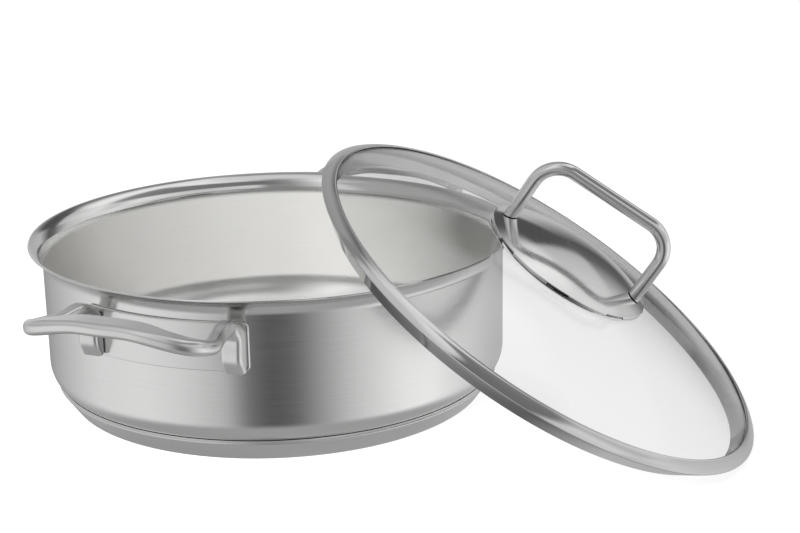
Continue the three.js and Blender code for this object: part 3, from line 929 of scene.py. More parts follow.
@dataclass(frozen=True)
class SideHandle:
    """Bent flat bar with two feet on a curved plate."""

    side: Side
    pan: Pan
    plate_thickness: float = 1.2 * MM
    plate_drop: float = 2.2 * MM
    plate_height: float = 28.4 * MM
    plate_overhang: float = 7.5 * MM
    plate_corner: float = 3 * MM
    plate_edge_round: float = 0.6 * MM
    foot_angle: float = 17.8
    foot_rise: float = 0.8 * MM
    foot_width: float = 12.5 * MM
    foot_thickness: float = 9 * MM
    foot_tip_thickness: float = 5.4 * MM
    foot_tip_round: float = 1 * MM
    foot_bend: float = 6.5 * MM
    ridge_rise: float = 0.9 * MM
    ridge_width: float = 11 * MM
    dip_drop: float = 0.8 * MM
    dip_spread: float = 3 * MM
    arm_spread: float = 7.4 * MM
    arm_width: float = 9.5 * MM
    arm_thickness: float = 7.8 * MM
    arm_round: float = 3.6 * MM
    corner_rise: float = 0.2 * MM
    corner_radius: float = 15 * MM
    corner_width: float = 10.5 * MM
    corner_thickness: float = 8.6 * MM
    grip_standoff: float = 54.3 * MM
    grip_bow: float = 1.5 * MM
    grip_rise: float = 10.5 * MM
    grip_sag: float = 4.2 * MM
    grip_width: float = 16.5 * MM
    grip_taper: float = 4.5 * MM
    grip_thickness: float = 7.2 * MM
    edge_round: float = 2.6 * MM
    fullest_round: float = 0.45
    steps: int = 8
    tip_rows: int = 5
    face_rows: int = 10
    face_start: float = 0.06

    @property
    def plate_radius(self) -> float:
        """Radius of the plate's outer face."""
        return self.pan.outer_radius + SEAT_GAP + self.plate_thickness

    @property
    def plate_top(self) -> float:
        """Height of the plate's upper edge."""
        return self.pan.flare_start - self.plate_drop

    @property
    def place(self) -> Array:
        """Turn about Z to the handle's side."""
        return np.array(Matrix.Rotation(np.radians(self.side.value), 4, "Z"))

    def stations(self) -> tuple[Array, Array, Array]:
        """Set out the bar's centre line from one foot to the other.

        Returns:
            Centres, the sections' width, thickness and edge round, and the way that the upper side
            faces, a row to a station.
        """
        foot_radius = self.plate_radius + SEAT_GAP + self.foot_thickness / 2
        foot_side = foot_radius * np.sin(np.radians(self.foot_angle))
        foot_out = foot_radius * np.cos(np.radians(self.foot_angle))
        tip_out = foot_out - (self.foot_thickness - self.foot_tip_thickness) / 2
        foot_bottom = self.plate_top - self.plate_height + self.foot_rise
        ridge = self.plate_top + self.ridge_rise
        reach = self.pan.outer_radius + self.grip_standoff
        grip_height = ridge + self.grip_rise
        bend_out = foot_out + self.foot_bend
        corner_out = reach - self.grip_bow - self.corner_radius
        corner_side = foot_side + self.arm_spread - self.corner_radius
        half_corner = self.corner_radius * np.sqrt(0.5)
        corner_low = ridge + self.corner_rise
        corner_high = grip_height - self.grip_sag
        centres = np.array(
            [
                [tip_out, foot_side, foot_bottom],
                [foot_out, foot_side, foot_bottom + self.foot_thickness],
                [foot_out, foot_side, ridge - self.foot_bend],
                [bend_out, foot_side, ridge],
                [(bend_out + corner_out) / 2, foot_side + self.dip_spread, ridge - self.dip_drop],
                [corner_out, corner_side + self.corner_radius, corner_low],
                [corner_out + half_corner, corner_side + half_corner, (corner_low + corner_high) / 2],
                [reach - self.grip_bow, corner_side, corner_high],
                [reach - self.grip_bow / 4, corner_side / 2, grip_height - self.grip_sag / 8],
                [reach, 0.0, grip_height],
            ]
        )
        half_grip = self.grip_width - self.grip_taper / 4
        grip_end = self.grip_width - self.grip_taper
        sections = np.array(
            [
                [self.foot_width, self.foot_tip_thickness, self.edge_round],
                [self.foot_width, self.foot_thickness, self.edge_round],
                [self.foot_width, self.foot_thickness, self.edge_round],
                [self.ridge_width, self.arm_thickness, self.arm_round],
                [self.arm_width, self.arm_thickness, self.arm_round],
                [self.arm_width, self.arm_thickness, self.arm_round],
                [self.corner_width, self.corner_thickness, self.arm_round],
                [grip_end, self.corner_thickness, self.arm_round],
                [half_grip, self.grip_thickness, self.edge_round],
                [self.grip_width, self.grip_thickness, self.edge_round],
            ]
        )
        facing = np.array([[-1.0, 0.0, 0.0]] * 3 + [[0.0, 0.0, 1.0]] * 7)
        back = slice(-2, None, -1)
        return (
            np.vstack([centres, centres[back] * [1, -1, 1]]),
            np.vstack([sections, sections[back]]),
            np.vstack([facing, facing[back]]),
        )

    def bar(self) -> Shape:
        """Sweep the rounded flat bar along its centre line.

        Width, thickness and facing blend from station to station. The last millimetre of each foot is
        drawn in along a quarter round, and the back of the feet is kept clear of the plate by pushing
        its points out to the plate's radius and one seat gap.

        Returns:
            The bar's surface.
        """
        stations, sections, facings = self.stations()
        centres, tangents = smooth_path(stations, self.steps)
        span, share = span_shares(len(stations) - 1, self.steps)
        ease = (share * share * (3 - 2 * share))[:, None]
        section = sections[span] + (sections[span + 1] - sections[span]) * ease
        facing = facings[span] + (facings[span + 1] - facings[span]) * ease
        turn = np.radians(np.linspace(0, 90, self.tip_rows))
        shift = self.foot_tip_round * (1 - np.cos(turn))
        inset = self.foot_tip_round * (1 - np.sin(turn))
        first = centres[:1] + shift[:, None] * tangents[:1]
        last = centres[-1:] - shift[::-1, None] * tangents[-1:]
        middle = np.arange(2, len(centres) - 2)
        rows = np.concatenate([[0] * self.tip_rows, middle, [-1] * self.tip_rows])
        drawn_in = np.concatenate([inset, np.zeros(len(middle)), inset[::-1]])
        centres = np.vstack([first, centres[middle], last])
        tangents, facing = tangents[rows], facing[rows]
        up = unit(facing - np.sum(facing * tangents, axis=1, keepdims=True) * tangents)
        across = np.cross(up, tangents)
        width, thickness, edge = section[rows].T
        half_width = (width / 2 - drawn_in)[:, None]
        half_thickness = (thickness / 2 - drawn_in)[:, None]
        rounding = (np.minimum(edge, self.fullest_round * thickness) - drawn_in)[:, None]
        flat = np.array([0.85, 0.0, -0.85])
        x_sign, y_sign, angle = rounded_outline(flat, flat, 7)
        x = x_sign * (half_width - rounding) + rounding * np.cos(angle)
        y = y_sign * (half_thickness - rounding) + rounding * np.sin(angle)
        shape = swept(centres, across, up, x, y)
        reach = np.hypot(shape.points[:, 0], shape.points[:, 1])
        push = np.maximum(1.0, (self.plate_radius + SEAT_GAP) / reach)
        return replace(shape, points=shape.points * np.stack([push, push, np.ones_like(push)], axis=1))

    def plate(self) -> Shape:
        """Wrap a rounded rectangle on the wall.

        A ring of the outline is scaled towards its middle on the back and on the front, and the edge
        between them is drawn in along a quarter round: point = (R cos(s / R), R sin(s / R), z).

        Returns:
            The plate's surface.
        """
        half = self.plate_radius * np.radians(self.foot_angle) + self.plate_overhang
        tall = self.plate_height / 2
        corner = self.plate_corner
        along = np.linspace(1, -1, 33)[1:-1]
        upright = np.linspace(1, -1, 9)[1:-1]
        s_sign, z_sign, angle = rounded_outline(along, upright, 9)
        outline_s = s_sign * (half - corner) + corner * np.cos(angle)
        outline_z = z_sign * (tall - corner) + corner * np.sin(angle)
        shrink = np.linspace(self.face_start, 1, self.face_rows)
        quarter = np.radians(np.linspace(0, 90, 4))
        edge = self.plate_edge_round
        on_back, on_front = np.ones(self.face_rows), np.ones(self.face_rows - 1)
        inset = np.concatenate([0 * on_back, edge * (1 - np.cos(quarter)), edge * on_front])
        scale = np.concatenate([shrink, np.ones(len(quarter)), shrink[-2::-1]])
        inner = self.plate_radius - self.plate_thickness
        front = self.plate_radius - edge * (1 - np.sin(quarter))
        radius = np.concatenate([inner * on_back, front, self.plate_radius * on_front])
        s = scale[:, None] * outline_s * (1 - inset[:, None] / half)
        z = scale[:, None] * outline_z * (1 - inset[:, None] / tall) + self.plate_top - tall
        r = radius[:, None]
        points = np.stack([r * np.cos(s / r), r * np.sin(s / r), z], axis=-1)
        closed_s = np.concatenate([s, s[:, :1]], axis=1)
        closed_z = np.concatenate([z, z[:, :1]], axis=1)
        uv = np.stack([closed_s, closed_z], axis=-1)
        middle = self.plate_top - tall
        first = np.array([inner, 0.0, middle])
        last = np.array([self.plate_radius, 0.0, middle])
        return grid_shape(points, uv, first_pole=first, last_pole=last)

    def build(self, finishes: Finishes) -> None:
        """Build and dress the plate and the bar.

        Args:
            finishes: Materials of the whole object.
        """
        side = self.side.name.lower()
        plate = self.plate().placed(self.place)
        dress(plate, f"{side}_plate", finishes.plate, PAN_BODY, f"{side}_handle_plate")
        bar = self.bar().placed(self.place)
        dress(bar, f"{side}_handle_bar", finishes.bar, PAN_BODY, f"{side}_handle", 40.0)


# Lid


@dataclass(frozen=True)
class Lean:
    """How the lid leans on the pan's lip, with its foot on the table."""

    tilt: float = 33.05
    tilt_azimuth: float = -82.2
    azimuth: float = -98.05
    distance: float = 184.96 * MM
    bow_turn: float = 3.4

    def place(self, height: float) -> Array:
        """Matrix from the lid's frame, with Z along its axis and X along the bow, to the model's.

        Args:
            height: Of the lid's middle over the table.

        Returns:
            The 4 by 4 matrix: turn by the bow's turn, tilt, turn to the tilt's azimuth, then shift.
        """
        direction = np.radians(self.azimuth)
        middle = (self.distance * np.cos(direction), self.distance * np.sin(direction), height)
        turn = Matrix.Rotation(np.radians(self.bow_turn), 4, "Z")
        tilt = Matrix.Rotation(np.radians(self.tilt), 4, "Y")
        swing = Matrix.Rotation(np.radians(self.tilt_azimuth), 4, "Z")
        return np.array(Matrix.Translation(middle) @ swing @ tilt @ turn)


@dataclass(frozen=True)
class Lid:
    """Domed glass in a rolled steel ring."""

    lean: Lean
    pan: Pan
    rim_sheet: float = 0.9 * MM
    rim_grip: float = 3.4 * MM
    bead_overhang: float = 4.4 * MM
    nose_height: float = -0.7 * MM
    nose_trim: float = 0.3 * MM
    nose_turn: tuple[tuple[float, float], ...] = ((0.35, 0.75), (0.1, 0.5), (0.0, 0.2))
    lip_bulge: float = 0.4 * MM
    hem_width: float = 1.0 * MM
    hem_groove: float = 0.5 * MM
    skirt_setback: float = 2.5 * MM
    skirt_top_depth: float = 3.3 * MM
    skirt_taper: float = 8.2 * MM
    skirt_fall: float = 7.7 * MM
    glass_thickness: float = 3.5 * MM
    glass_sphere: float = 373 * MM
    glass_setback: float = 4.2 * MM
    glass_edge_height: float = 0.95 * MM
    crown_radius: float = 42 * MM
    crown_blend: float = 5 * MM
    crown_depth: float = 4.3 * MM
    steam_hole_radius: float = 3 * MM
    segments: int = 256

    @property
    def bead_radius(self) -> float:
        """Radius of the rolled bead."""
        return self.pan.inner_radius + self.bead_overhang

    @property
    def skirt_foot(self) -> tuple[float, float]:
        """Radius and height of the skirt's lower edge."""
        radius = self.bead_radius - self.skirt_setback - self.skirt_taper
        return radius, -self.skirt_top_depth - self.skirt_fall

    @property
    def glass_edge(self) -> float:
        """Radius of the glass."""
        return self.bead_radius - self.glass_setback

    @property
    def dome_centre(self) -> float:
        """Height of the middle of the dome's sphere."""
        return self.glass_edge_height - np.sqrt(self.glass_sphere**2 - self.glass_edge**2)

    @property
    def crown_top(self) -> float:
        """Height of the flat crown."""
        return self.dome_centre + self.glass_sphere - self.crown_depth

    @property
    def place(self) -> Array:
        """Matrix from the lid's frame to the model's.

        Returns:
            The 4 by 4 matrix.
        """
        tilt = np.radians(self.lean.tilt)
        radius, depth = self.skirt_foot
        return self.lean.place(radius * np.sin(tilt) - depth * np.cos(tilt))

    def dome(self, offset: float, start: float, end: float, steps: int) -> Array:
        """Points on the dome grown by an offset: z = c + sqrt((R + offset)^2 - r^2).

        Args:
            offset: Growth of the sphere's radius.
            start: First radius from the axis.
            end: Last radius from the axis.
            steps: Steps between them.

        Returns:
            Rows of radius and height.
        """
        radius = np.linspace(start, end, steps + 1)
        height = self.dome_centre + np.sqrt((self.glass_sphere + offset) ** 2 - radius**2)
        return np.stack([radius, height], axis=1)

    def glass(self) -> Shape:
        """Dome between two spheres, with a flat crown eased into it and the steam hole in the middle.

        Returns:
            The glass's surface.
        """
        blend_radius = self.crown_radius + self.crown_blend
        under = self.dome(-self.glass_thickness, blend_radius, self.glass_edge, 24)
        over = self.dome(0.0, self.glass_edge, blend_radius, 24)
        crown = self.eased(over[-1], (self.crown_radius, self.crown_top), 8)
        crown_under = self.eased(under[0], (self.crown_radius, self.crown_top - self.glass_thickness), 8)
        hole = self.steam_hole_radius
        flat = np.linspace(hole, self.crown_radius, 8)[:-1]
        lower = np.stack([flat, np.full(7, self.crown_top - self.glass_thickness)], axis=1)
        upper = np.stack([flat[::-1], np.full(7, self.crown_top)], axis=1)
        profile = np.vstack([lower, crown_under[::-1][:-1], under, over, crown[1:], upper])
        return turned(profile, self.segments)

    @staticmethod
    def eased(start: Array, end: tuple[float, float], steps: int) -> Array:
        """Rise from one profile point to another by a half cosine.

        Args:
            start: First radius and height.
            end: Last radius and height.
            steps: Steps between them.

        Returns:
            Rows of radius and height.
        """
        share = np.linspace(0, 1, steps + 1)
        lift = (1 - np.cos(np.pi * share)) / 2
        radius = start[0] + (end[0] - start[0]) * share
        return np.stack([radius, start[1] + (end[1] - start[1]) * lift], axis=1)

    def rim(self) -> Shape:
        """Rolled ring: skirt, waist, nose, the lip over the glass and the channel for it.

        Returns:
            The ring's surface.
        """
        top_offset = SEAT_GAP + self.rim_sheet
        under_offset = -self.glass_thickness - SEAT_GAP
        channel = self.glass_edge + SEAT_GAP
        lip = self.glass_edge - self.rim_grip
        foot_radius, foot_height = self.skirt_foot
        length = np.hypot(self.skirt_taper, self.skirt_fall)
        skirt_in = self.rim_sheet * self.skirt_fall / length
        skirt_up = self.rim_sheet * self.skirt_taper / length
        foot_inside = np.array([foot_radius - skirt_in, foot_height + skirt_up])
        waist = np.array([self.bead_radius - self.skirt_setback, -self.skirt_top_depth])
        lip_under = self.dome(under_offset - self.rim_sheet, lip, lip, 0)[0, 1]
        joint_rise = lip_under - self.rim_sheet - foot_inside[1]
        joint = foot_inside[0] + joint_rise * self.skirt_taper / self.skirt_fall
        skirt = np.linspace([foot_radius, foot_height], waist, 4)
        hem_height = self.dome(top_offset, lip, lip, 0)[0, 1]
        profile = np.vstack(
            [
                foot_inside,
                skirt,
                self.rolled_lip(lip, hem_height),
                self.dome(SEAT_GAP, lip, channel, 3),
                self.dome(under_offset, channel, lip, 3),
                [[lip, lip_under], [joint, lip_under - self.rim_sheet]],
            ]
        )
        return turned(profile, self.segments)

    def rolled_lip(self, lip: float, height: float) -> Array:
        """Outline of the lip from its nose to the hem at the glass.

        The lip is a cone that bulges a little: a quadratic Bezier curve from the nose. The hem is a
        raised edge behind a narrow groove.

        Args:
            lip: Radius of the lip's inner edge.
            height: Of the lip there.

        Returns:
            Rows of radius and height.
        """
        nose = np.array([self.bead_radius - self.nose_trim, self.nose_height])
        hem = np.array([lip + self.hem_width, height - self.hem_groove])
        along = unit(hem - nose)
        bulge = (nose + hem) / 2 + 2 * self.lip_bulge * np.array([along[1], -along[0]])
        t = np.linspace(0, 1, 17)[:, None]
        cone = (1 - t) ** 2 * nose + 2 * t * (1 - t) * bulge + t**2 * hem
        under = nose - np.array(self.nose_turn) * MM
        middle = (lip + self.hem_width / 2, height - self.hem_width / 2)
        edge = arc(middle, (self.hem_width / 2, self.hem_width / 2), 0, 180, 8)
        return np.vstack([under, cone, edge])

    def build(self, finishes: Finishes) -> None:
        """Build and dress the glass and its ring.

        Args:
            finishes: Materials of the whole object.
        """
        glass = self.glass().placed(self.place)
        dress(glass, "dome_glass", finishes.glass, LID_BODY, "lid_glass", 50.0)
        rim = self.rim().placed(self.place)
        dress(rim, "rolled_rim", finishes.rim, LID_BODY, "lid_rim")


DISC_STEEL = Steel("spun_disc_steel", Grain.POLISHED, roughness=0.1, spread=0.7)
BOW_STEEL = Steel("brushed_bow_steel", Grain.LENGTHWISE, colour=(0.7, 0.7, 0.7), roughness=0.18)
# Near-black steel that is painted shade: it darkens the disc's underside seen in the vents and paints a
# shadow ring where each bow leg meets the disc.
PAINTED_SHADE_STEEL = Steel("painted_shade_steel", Grain.POLISHED, colour=(0.02, 0.02, 0.02), roughness=0.6)


@dataclass(frozen=True)
class LidHandle:
    """Domed disc on the crown with a bent round bar, screwed on from below."""

    lid: Lid
    disc_radius: float = 50 * MM
    disc_edge_top: float = 1.9 * MM
    disc_edge_gap: float = 0.15 * MM
    disc_edge_round: float = 0.5 * MM
    disc_sphere: float = 140 * MM
    top_step: tuple[float, float] = (-0.3 * MM, 0.1 * MM)
    crest_rise: float = 4.9 * MM
    disc_standoff: float = 0.9 * MM
    vent_count: int = 8
    vent_width: float = 14 * MM
    vent_rise: float = 1.65 * MM
    vent_length: float = 1.0 * MM
    vent_step: float = 0.1 * MM
    bow_setback: float = 8.5 * MM
    bow_height: float = 41.8 * MM
    bow_corner: float = 16.5 * MM
    bow_bar_radius: float = 3.9 * MM
    socket_depth: float = 0.8 * MM
    # Length of the painted shadow band above the disc at each leg's foot.
    painted_seam_shadow: float = 0.45 * MM
    disc_segments: int = 384
    bar_segments: int = 32
    leg_steps: int = 8
    corner_steps: int = 20
    top_steps: int = 32
    middle_radius: float = 20 * MM
    crisp: float = 0.05 * MM

    @property
    def crest(self) -> float:
        """Height of the solid disc's crest, from which the bow's height is measured."""
        return self.lid.crown_top + self.crest_rise

    @property
    def edge_height(self) -> float:
        """Height of the glass under the disc's edge."""
        return self.lid.dome(0.0, self.disc_radius, self.disc_radius, 0)[0, 1]

    @property
    def half_span(self) -> float:
        """Distance of each leg's axis from the disc's middle."""
        return self.disc_radius - self.bow_setback

    def edge_round(self) -> Array:
        """Quarter-round at the top of the disc's edge, as rows of radius and height.

        Returns:
            The rows.
        """
        size = self.disc_edge_round
        centre = (self.disc_radius - size, self.edge_height + self.disc_edge_top - size)
        return arc(centre, (size, size), 0, 65, 6)

    def top(self) -> Array:
        """Spherical top from the edge's round to the middle: sqrt(R^2 - r^2), set to start at the round.

        Returns:
            Rows of radius and height.
        """
        start = self.edge_round()[-1] + self.top_step
        radius = np.linspace(start[0], 0.0, self.top_steps + 1)
        rise = np.sqrt(self.disc_sphere**2 - radius**2)
        return np.stack([radius, start[1] + rise - rise[0]], axis=1)

    @property
    def seat(self) -> float:
        """Height of the disc's top under a leg's axis."""
        top = self.top()[::-1]
        return float(np.interp(self.half_span, top[:, 0], top[:, 1]))

    def disc_profile(self) -> tuple[Array, int]:
        """Outline of the disc: flat underside, upright edge with a round, and a spherical top.

        Returns:
            Rows of radius and height, and the row at which the upright edge starts.
        """
        lid = self.lid
        edge_low = self.edge_height + self.disc_edge_gap
        blend = lid.dome(SEAT_GAP, lid.crown_radius + lid.crown_blend, self.disc_radius, 1)[0]
        underside = lid.crown_top + self.disc_standoff
        lower_edge = self.disc_radius - self.vent_length
        inner_vent = np.interp(lower_edge, [blend[0], self.disc_radius], [blend[1], edge_low])
        below = np.array(
            [
                [0.0, underside],
                [self.middle_radius, underside],
                [lid.crown_radius, underside],
                blend,
                [lower_edge, inner_vent],
                [lower_edge + self.vent_step, inner_vent],
                [self.disc_radius, edge_low],
            ]
        )
        return np.vstack([below, self.edge_round(), self.top()]), len(below)

    def disc_steel(self) -> Steel:
        """Spun steel whose hidden underside, seen in the vents, is painted near-black as painted shade.

        Returns:
            The steel with its painted shade zone.
        """
        profile, edge = self.disc_profile()
        length = run_length(profile[1:-1])[edge - 2]
        # The zone paints the whole underside near-black: painted shade for the dark inside of the vents.
        return replace(DISC_STEEL, zones=(Zone(-1.0, length, PAINTED_SHADE_STEEL, self.crisp),))

    def disc(self) -> Shape:
        """Turn the disc's outline, and lift the underside near the edge at each vent, over its width.

        Returns:
            The disc's surface.
        """
        profile, edge = self.disc_profile()
        shape = turned(profile, self.disc_segments)
        points = shape.points.copy()
        # The first row of the outline is the pole, so the two rows behind the edge are edge - 3 and edge - 2.
        first = (edge - 3) * self.disc_segments
        lifted = points[first : first + 2 * self.disc_segments]
        angle = np.arctan2(lifted[:, 1], lifted[:, 0])
        pitch = 2 * np.pi / self.vent_count
        from_vent = np.abs((angle + pitch / 2) % pitch - pitch / 2)
        half = self.vent_width / 2 / self.disc_radius
        lifted[:, 2] += self.vent_rise * (from_vent < half)
        return replace(shape, points=points)

    def bow_line(self) -> Array:
        """Bow's path, as rows of place across and height: a leg, two quarter circles and the other leg.

        Returns:
            The rows.
        """
        top = self.crest + self.bow_height
        bottom = self.seat - self.socket_depth + SEAT_GAP
        inner = self.half_span - self.bow_corner
        shoulder = top - self.bow_corner
        corner = arc((inner, shoulder), (self.bow_corner, self.bow_corner), 0, 90, self.corner_steps)
        leg = np.linspace([self.half_span, bottom], [self.half_span, shoulder], self.leg_steps + 1)
        level = np.linspace([inner, top], [0.0, top], self.leg_steps + 1)
        half = np.vstack([leg[:-1], corner, level[1:]])
        return np.vstack([half * [-1, 1], half[-2::-1]])

    def bow_steel(self) -> Steel:
        """Brushed steel with a painted shadow: a near-black band where each leg stands in the disc.

        Returns:
            The steel with its zones.
        """
        length = run_length(self.bow_line())[-1]
        # Each leg's end is painted near-black over its socket and a little above: a painted shadow of the gap
        # round the leg.
        painted_seam_shadow = self.socket_depth - SEAT_GAP + self.painted_seam_shadow
        ends = ((-1.0, painted_seam_shadow), (length - painted_seam_shadow, length + 1.0))
        return replace(BOW_STEEL, zones=tuple(Zone(*end, PAINTED_SHADE_STEEL, self.crisp) for end in ends))

    def bow(self) -> Shape:
        """Sweep a circle along the bow's path, and slant its rings towards each foot to the disc's slope.

        Returns:
            The bow's surface.
        """
        line = self.bow_line()
        centres = np.stack([line[:, 0], np.zeros(len(line)), line[:, 1]], axis=1)
        tangents = unit(np.gradient(centres, run_length(centres), axis=0))
        across = np.broadcast_to([0.0, 1.0, 0.0], centres.shape)
        up = np.cross(tangents, across)
        turn = 2 * np.pi * np.arange(self.bar_segments) / self.bar_segments
        x = np.broadcast_to(self.bow_bar_radius * np.cos(turn), (len(line), self.bar_segments))
        y = np.broadcast_to(self.bow_bar_radius * np.sin(turn), (len(line), self.bar_segments))
        shape = swept(centres, across, up, x, y)
        points = shape.points.copy()
        rings = points[: x.size].reshape(*x.shape, 3)
        slope = self.half_span / np.sqrt(self.disc_sphere**2 - self.half_span**2)
        shoulder = line[:, 1].max() - self.bow_corner
        slant = np.clip((shoulder - line[:, 1]) / (shoulder - line[0, 1]), 0, 1)
        rings[..., 2] -= slope * slant[:, None] * (np.abs(rings[..., 0]) - self.half_span)
        return replace(shape, points=points)

    def build(self, finishes: Finishes) -> None:
        """Build and dress the disc and the bow, and give the fasteners their finishes.

        Args:
            finishes: Materials of the whole object.
        """
        place = self.lid.place
        disc = self.disc().placed(place)
        dress(disc, "domed_disc", self.disc_steel().material(), LID_BODY, "lid_handle_disc")
        bow = self.bow().placed(place)
        dress(bow, "bow_bar", self.bow_steel().material(), LID_BODY, "lid_handle_bow", 50.0)
        for end in ("upper", "lower"):
            dress_node(f"{end}_screw_bush", finishes.rubber)
            dress_node(f"{end}_screw_washer", finishes.fastener)
            dress_node(f"{end}_handle_screw", finishes.fastener)


# Studio


@dataclass(frozen=True)
class Camera:
    """Camera at the photograph's viewing angle."""

    position: tuple[float, float, float] = (-0.9048, -0.4665, 0.3753)
    heading: float = 22.9
    pitch: float = 16.57
    roll: float = -1.008
    lens: float = 76.5
    sensor: float = 36.0

    @property
    def axes(self) -> Array:
        """Unit vectors to the right, up and back, as columns.

        Returns:
            The 3 by 3 array.
        """
        heading, pitch, roll = np.radians([self.heading, self.pitch, self.roll])
        forward = np.array([np.cos(heading) * np.cos(pitch), np.sin(heading) * np.cos(pitch), -np.sin(pitch)])
        right = np.array([np.sin(heading), -np.cos(heading), 0.0])
        up = np.cross(right, forward)
        turned_right = np.cos(roll) * right + np.sin(roll) * up
        turned_up = np.cos(roll) * up - np.sin(roll) * right
        return np.stack([turned_right, turned_up, -forward], axis=1)

    def build(self) -> None:
        """Set up the scene's camera."""
        data = bpy.data.cameras.new("photo_camera")
        data.lens = self.lens
        data.sensor_width = self.sensor
        data.sensor_fit = "HORIZONTAL"
        made = bpy.data.objects.new("photo_camera", data)
        made.matrix_world = Matrix.Translation(self.position) @ Matrix(self.axes.tolist()).to_4x4()
        bpy.context.scene.collection.objects.link(made)
        bpy.context.scene.camera = made


@dataclass(frozen=True)
class Ring:
    """Levels of the surround round the horizon, from one height upward.

    Heights are the sine of the elevation. Angles are degrees from the camera's side, growing to its right.
    """

    low: float
    high: float
    levels: tuple[tuple[float, float], ...]


RINGS = (
    # Far below: dim, darkest behind on the left.
    Ring(
        -1.2,
        -1.0,
        ((-180, 0.6), (-170, 0.4), (-158, 0.15), (-150, 0.2), (-140, 0.4), (130, 0.45), (180, 0.6)),
    ),
    # Low: a pale panel on each side and a dark gap under the camera.
    Ring(
        -0.75,
        -0.5,
        (
            (-180, 0.45), (-155, 0.35), (-95, 0.9), (-65, 0.95), (-45, 0.85), (-22, 0.6), (-12, 0.2),
            (0, 0.1), (12, 0.15), (40, 0.7), (70, 1.1), (85, 1.15), (140, 0.6), (180, 0.45),
        ),
    ),
    # Level: softer panels, and a narrow dark gap behind on the right.
    Ring(
        -0.15,
        0.02,
        (
            (-180, 0.5), (-160, 0.85), (-105, 0.5), (-40, 0.6), (-8, 0.3), (8, 0.3), (30, 0.6), (60, 0.6),
            (98, 0.95), (135, 0.65), (149, 0.15), (156, 0.1), (167, 0.6), (180, 0.5),
        ),
    ),
    # Raised: a bright strip left of the camera and one right of it, and the gap behind goes on.
    Ring(
        0.28,
        0.36,
        (
            (-180, 0.5), (-142, 0.4), (-110, 0.65), (-50, 0.65), (-37, 1.1), (-7, 0.35), (6, 0.3), (14, 0.85),
            (40, 0.7), (83, 1.0), (100, 0.7), (115, 0.95), (147, 0.6), (150, 0.1), (168, 0.1), (180, 0.5),
        ),
    ),
    # High: the left strip goes on, a wide dark gap on the right and a bright panel behind it.
    Ring(
        0.57,
        0.66,
        (
            (-180, 0.5), (-142, 0.4), (-110, 0.65), (-50, 0.65), (-37, 1.15), (-7, 0.35), (8, 0.2),
            (83, 0.25), (108, 0.3), (118, 1.0), (133, 1.15), (148, 0.85), (160, 0.2), (180, 0.5),
        ),
    ),
    # Overhead: bright on both sides, dim in front and behind.
    Ring(
        0.88,
        0.92,
        (
            (-180, 0.35), (-142, 0.35), (-52, 1.0), (0, 0.4), (38, 0.9), (90, 1.1), (145, 1.0), (158, 0.8),
            (172, 0.3), (180, 0.35),
        ),
    ),
    Ring(0.95, 0.985, ((-180, 0.8), (180, 0.8))),
)


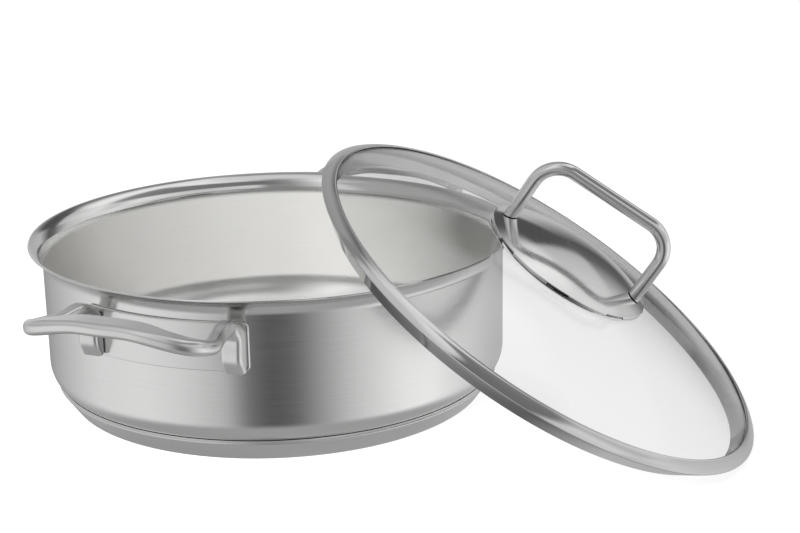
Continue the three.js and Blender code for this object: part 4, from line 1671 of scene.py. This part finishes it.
@dataclass(frozen=True)
class Studio:
    """White floor and a soft surround of pale panels with darker gaps between them."""

    facing: float = 22.9
    floor_reach: float = 12.0
    floor_colour: float = 0.9
    floor_white: float = 1.2
    floor_whiteness: float = 0.75
    floor_fade: tuple[float, float] = (0.4, 1.6)
    lamp_power: float = 68.0
    lamp_size: float = 0.7
    lamp_place: tuple[float, float, float] = (-15.0, 36.0, 1.6)
    matt_share: float = 0.1
    full_level: float = 1.5

    def surround(self) -> None:
        """Light the scene by a surround that goes by direction.

        The level follows the angle from the camera's side, read off a ramp for each ring, and one ring
        passes softly into the next with height. Seen straight or through glass it is plain white.
        """
        world = bpy.data.worlds.new("studio_surround")
        bpy.context.scene.world = world
        world.use_nodes = True
        graph = Graph(world.node_tree)
        place = graph.node("ShaderNodeTexCoord")
        axes = graph.node("ShaderNodeSeparateXYZ", {}, {0: place.outputs["Generated"]})
        x, y, z = (graph.signal(axes, i) for i in range(3))
        heading = np.radians(self.facing)
        toward = (x * np.cos(heading) + y * np.sin(heading)) * -1.0
        right = x * np.sin(heading) - y * np.cos(heading)
        turn = graph.math("ARCTAN2", right, toward) / (2 * np.pi) + 0.5
        level: Signal | float = 0.0
        for ring in RINGS:
            stops = [((angle + 180) / 360, value / self.full_level) for angle, value in ring.levels]
            ramp = graph.node("ShaderNodeValToRGB", {"stops": stops}, {0: turn})
            around = graph.signal(ramp) * self.full_level
            level = level + (around - level) * z.smooth_step(ring.low, ring.high)
        path = graph.node("ShaderNodeLightPath")
        polished = graph.signal(path, "Is Diffuse Ray") * (self.matt_share - 1.0) + 1.0
        strength = level * polished + (1.0 - level) * graph.plain_sight()
        back = graph.node("ShaderNodeBackground", {}, {"Color": (1, 1, 1, 1), "Strength": strength})
        graph.node("ShaderNodeOutputWorld", {}, {"Surface": back.outputs[0]})

    def floor(self) -> None:
        """Lay a pale floor: a grid point is (x, y, 0) over a square of the floor's reach."""
        x, y = np.meshgrid(np.linspace(-1, 1, 3) * self.floor_reach, np.linspace(-1, 1, 3) * self.floor_reach)
        points = np.stack([x, y, np.full_like(x, -0.2 * MM)], axis=-1).reshape(-1, 3)
        i, j = np.meshgrid(np.arange(2), np.arange(2), indexing="ij")
        corners = [i * 3 + j, i * 3 + j + 1, (i + 1) * 3 + j + 1, (i + 1) * 3 + j]
        faces = np.stack(corners, axis=-1).reshape(-1, 4)
        mesh = bpy.data.meshes.new("studio_floor")
        mesh.from_pydata(points.tolist(), [], faces.tolist())
        mesh.materials.append(self.floor_material())
        made = bpy.data.objects.new("studio_floor", mesh)
        made.visible_glossy = False
        made.visible_transmission = False
        bpy.context.scene.collection.objects.link(made)

    def floor_material(self) -> bpy.types.Material:
        """Pale matt floor, which the camera sees as white less the shadow, and as plain white far off.

        Returns:
            The new material.
        """
        made, graph = new_material("pale_floor")
        pale = (self.floor_colour,) * 3 + (1.0,)
        matt = graph.node("ShaderNodeBsdfDiffuse", {}, {"Color": pale})
        white = graph.node("ShaderNodeEmission", {}, {"Color": (1, 1, 1, 1), "Strength": self.floor_white})
        place = graph.node("ShaderNodeTexCoord")
        length = graph.node("ShaderNodeVectorMath", {"operation": "LENGTH"}, {0: place.outputs["Object"]})
        far = graph.signal(length, "Value").smooth_step(*self.floor_fade)
        white_share = far * (1 / self.floor_white - self.floor_whiteness) + self.floor_whiteness
        seen = graph.plain_sight() * white_share
        mix = graph.node("ShaderNodeMixShader", {}, {0: seen, 1: matt.outputs[0], 2: white.outputs[0]})
        graph.node("ShaderNodeOutputMaterial", {}, {"Surface": mix.outputs[0]})
        return made

    def lamp(self) -> None:
        """Hang a soft lamp over the camera's left shoulder, which lights matt surfaces alone."""
        angle, elevation = np.radians(self.lamp_place[:2])
        facing = np.radians(self.facing)
        level = np.cos(elevation)
        toward = np.array([-np.cos(facing), -np.sin(facing)]) * np.cos(angle)
        sideways = np.array([np.sin(facing), -np.cos(facing)]) * np.sin(angle)
        direction = np.append(level * (toward + sideways), np.sin(elevation))
        data = bpy.data.lights.new("soft_lamp", "AREA")
        data.shape = "DISK"
        data.size = self.lamp_size
        data.energy = self.lamp_power
        made = bpy.data.objects.new("soft_lamp", data)
        made.matrix_world = (
            Matrix.Translation((direction * self.lamp_place[2]).tolist())
            @ Vector(direction.tolist()).to_track_quat("Z", "Y").to_matrix().to_4x4()
        )
        made.visible_glossy = False
        made.visible_transmission = False
        bpy.context.scene.collection.objects.link(made)

    def build(self) -> None:
        """Set the view, the surround, the floor and the lamp."""
        bpy.context.scene.view_settings.view_transform = "Standard"
        self.surround()
        self.floor()
        self.lamp()


def main() -> None:
    """Build the studio, the pan, its handles and the lid, in order."""
    logging.basicConfig(level=logging.INFO, format="%(name)s: %(message)s")
    Camera().build()
    Studio().build()
    pan = Pan()
    finishes = Finishes.make(pan.zones())
    pan.build(finishes)
    for side in Side:
        SideHandle(side, pan).build(finishes)
    lid = Lid(Lean(), pan)
    lid.build(finishes)
    LidHandle(lid).build(finishes)


if __name__ == "__main__":
    main()
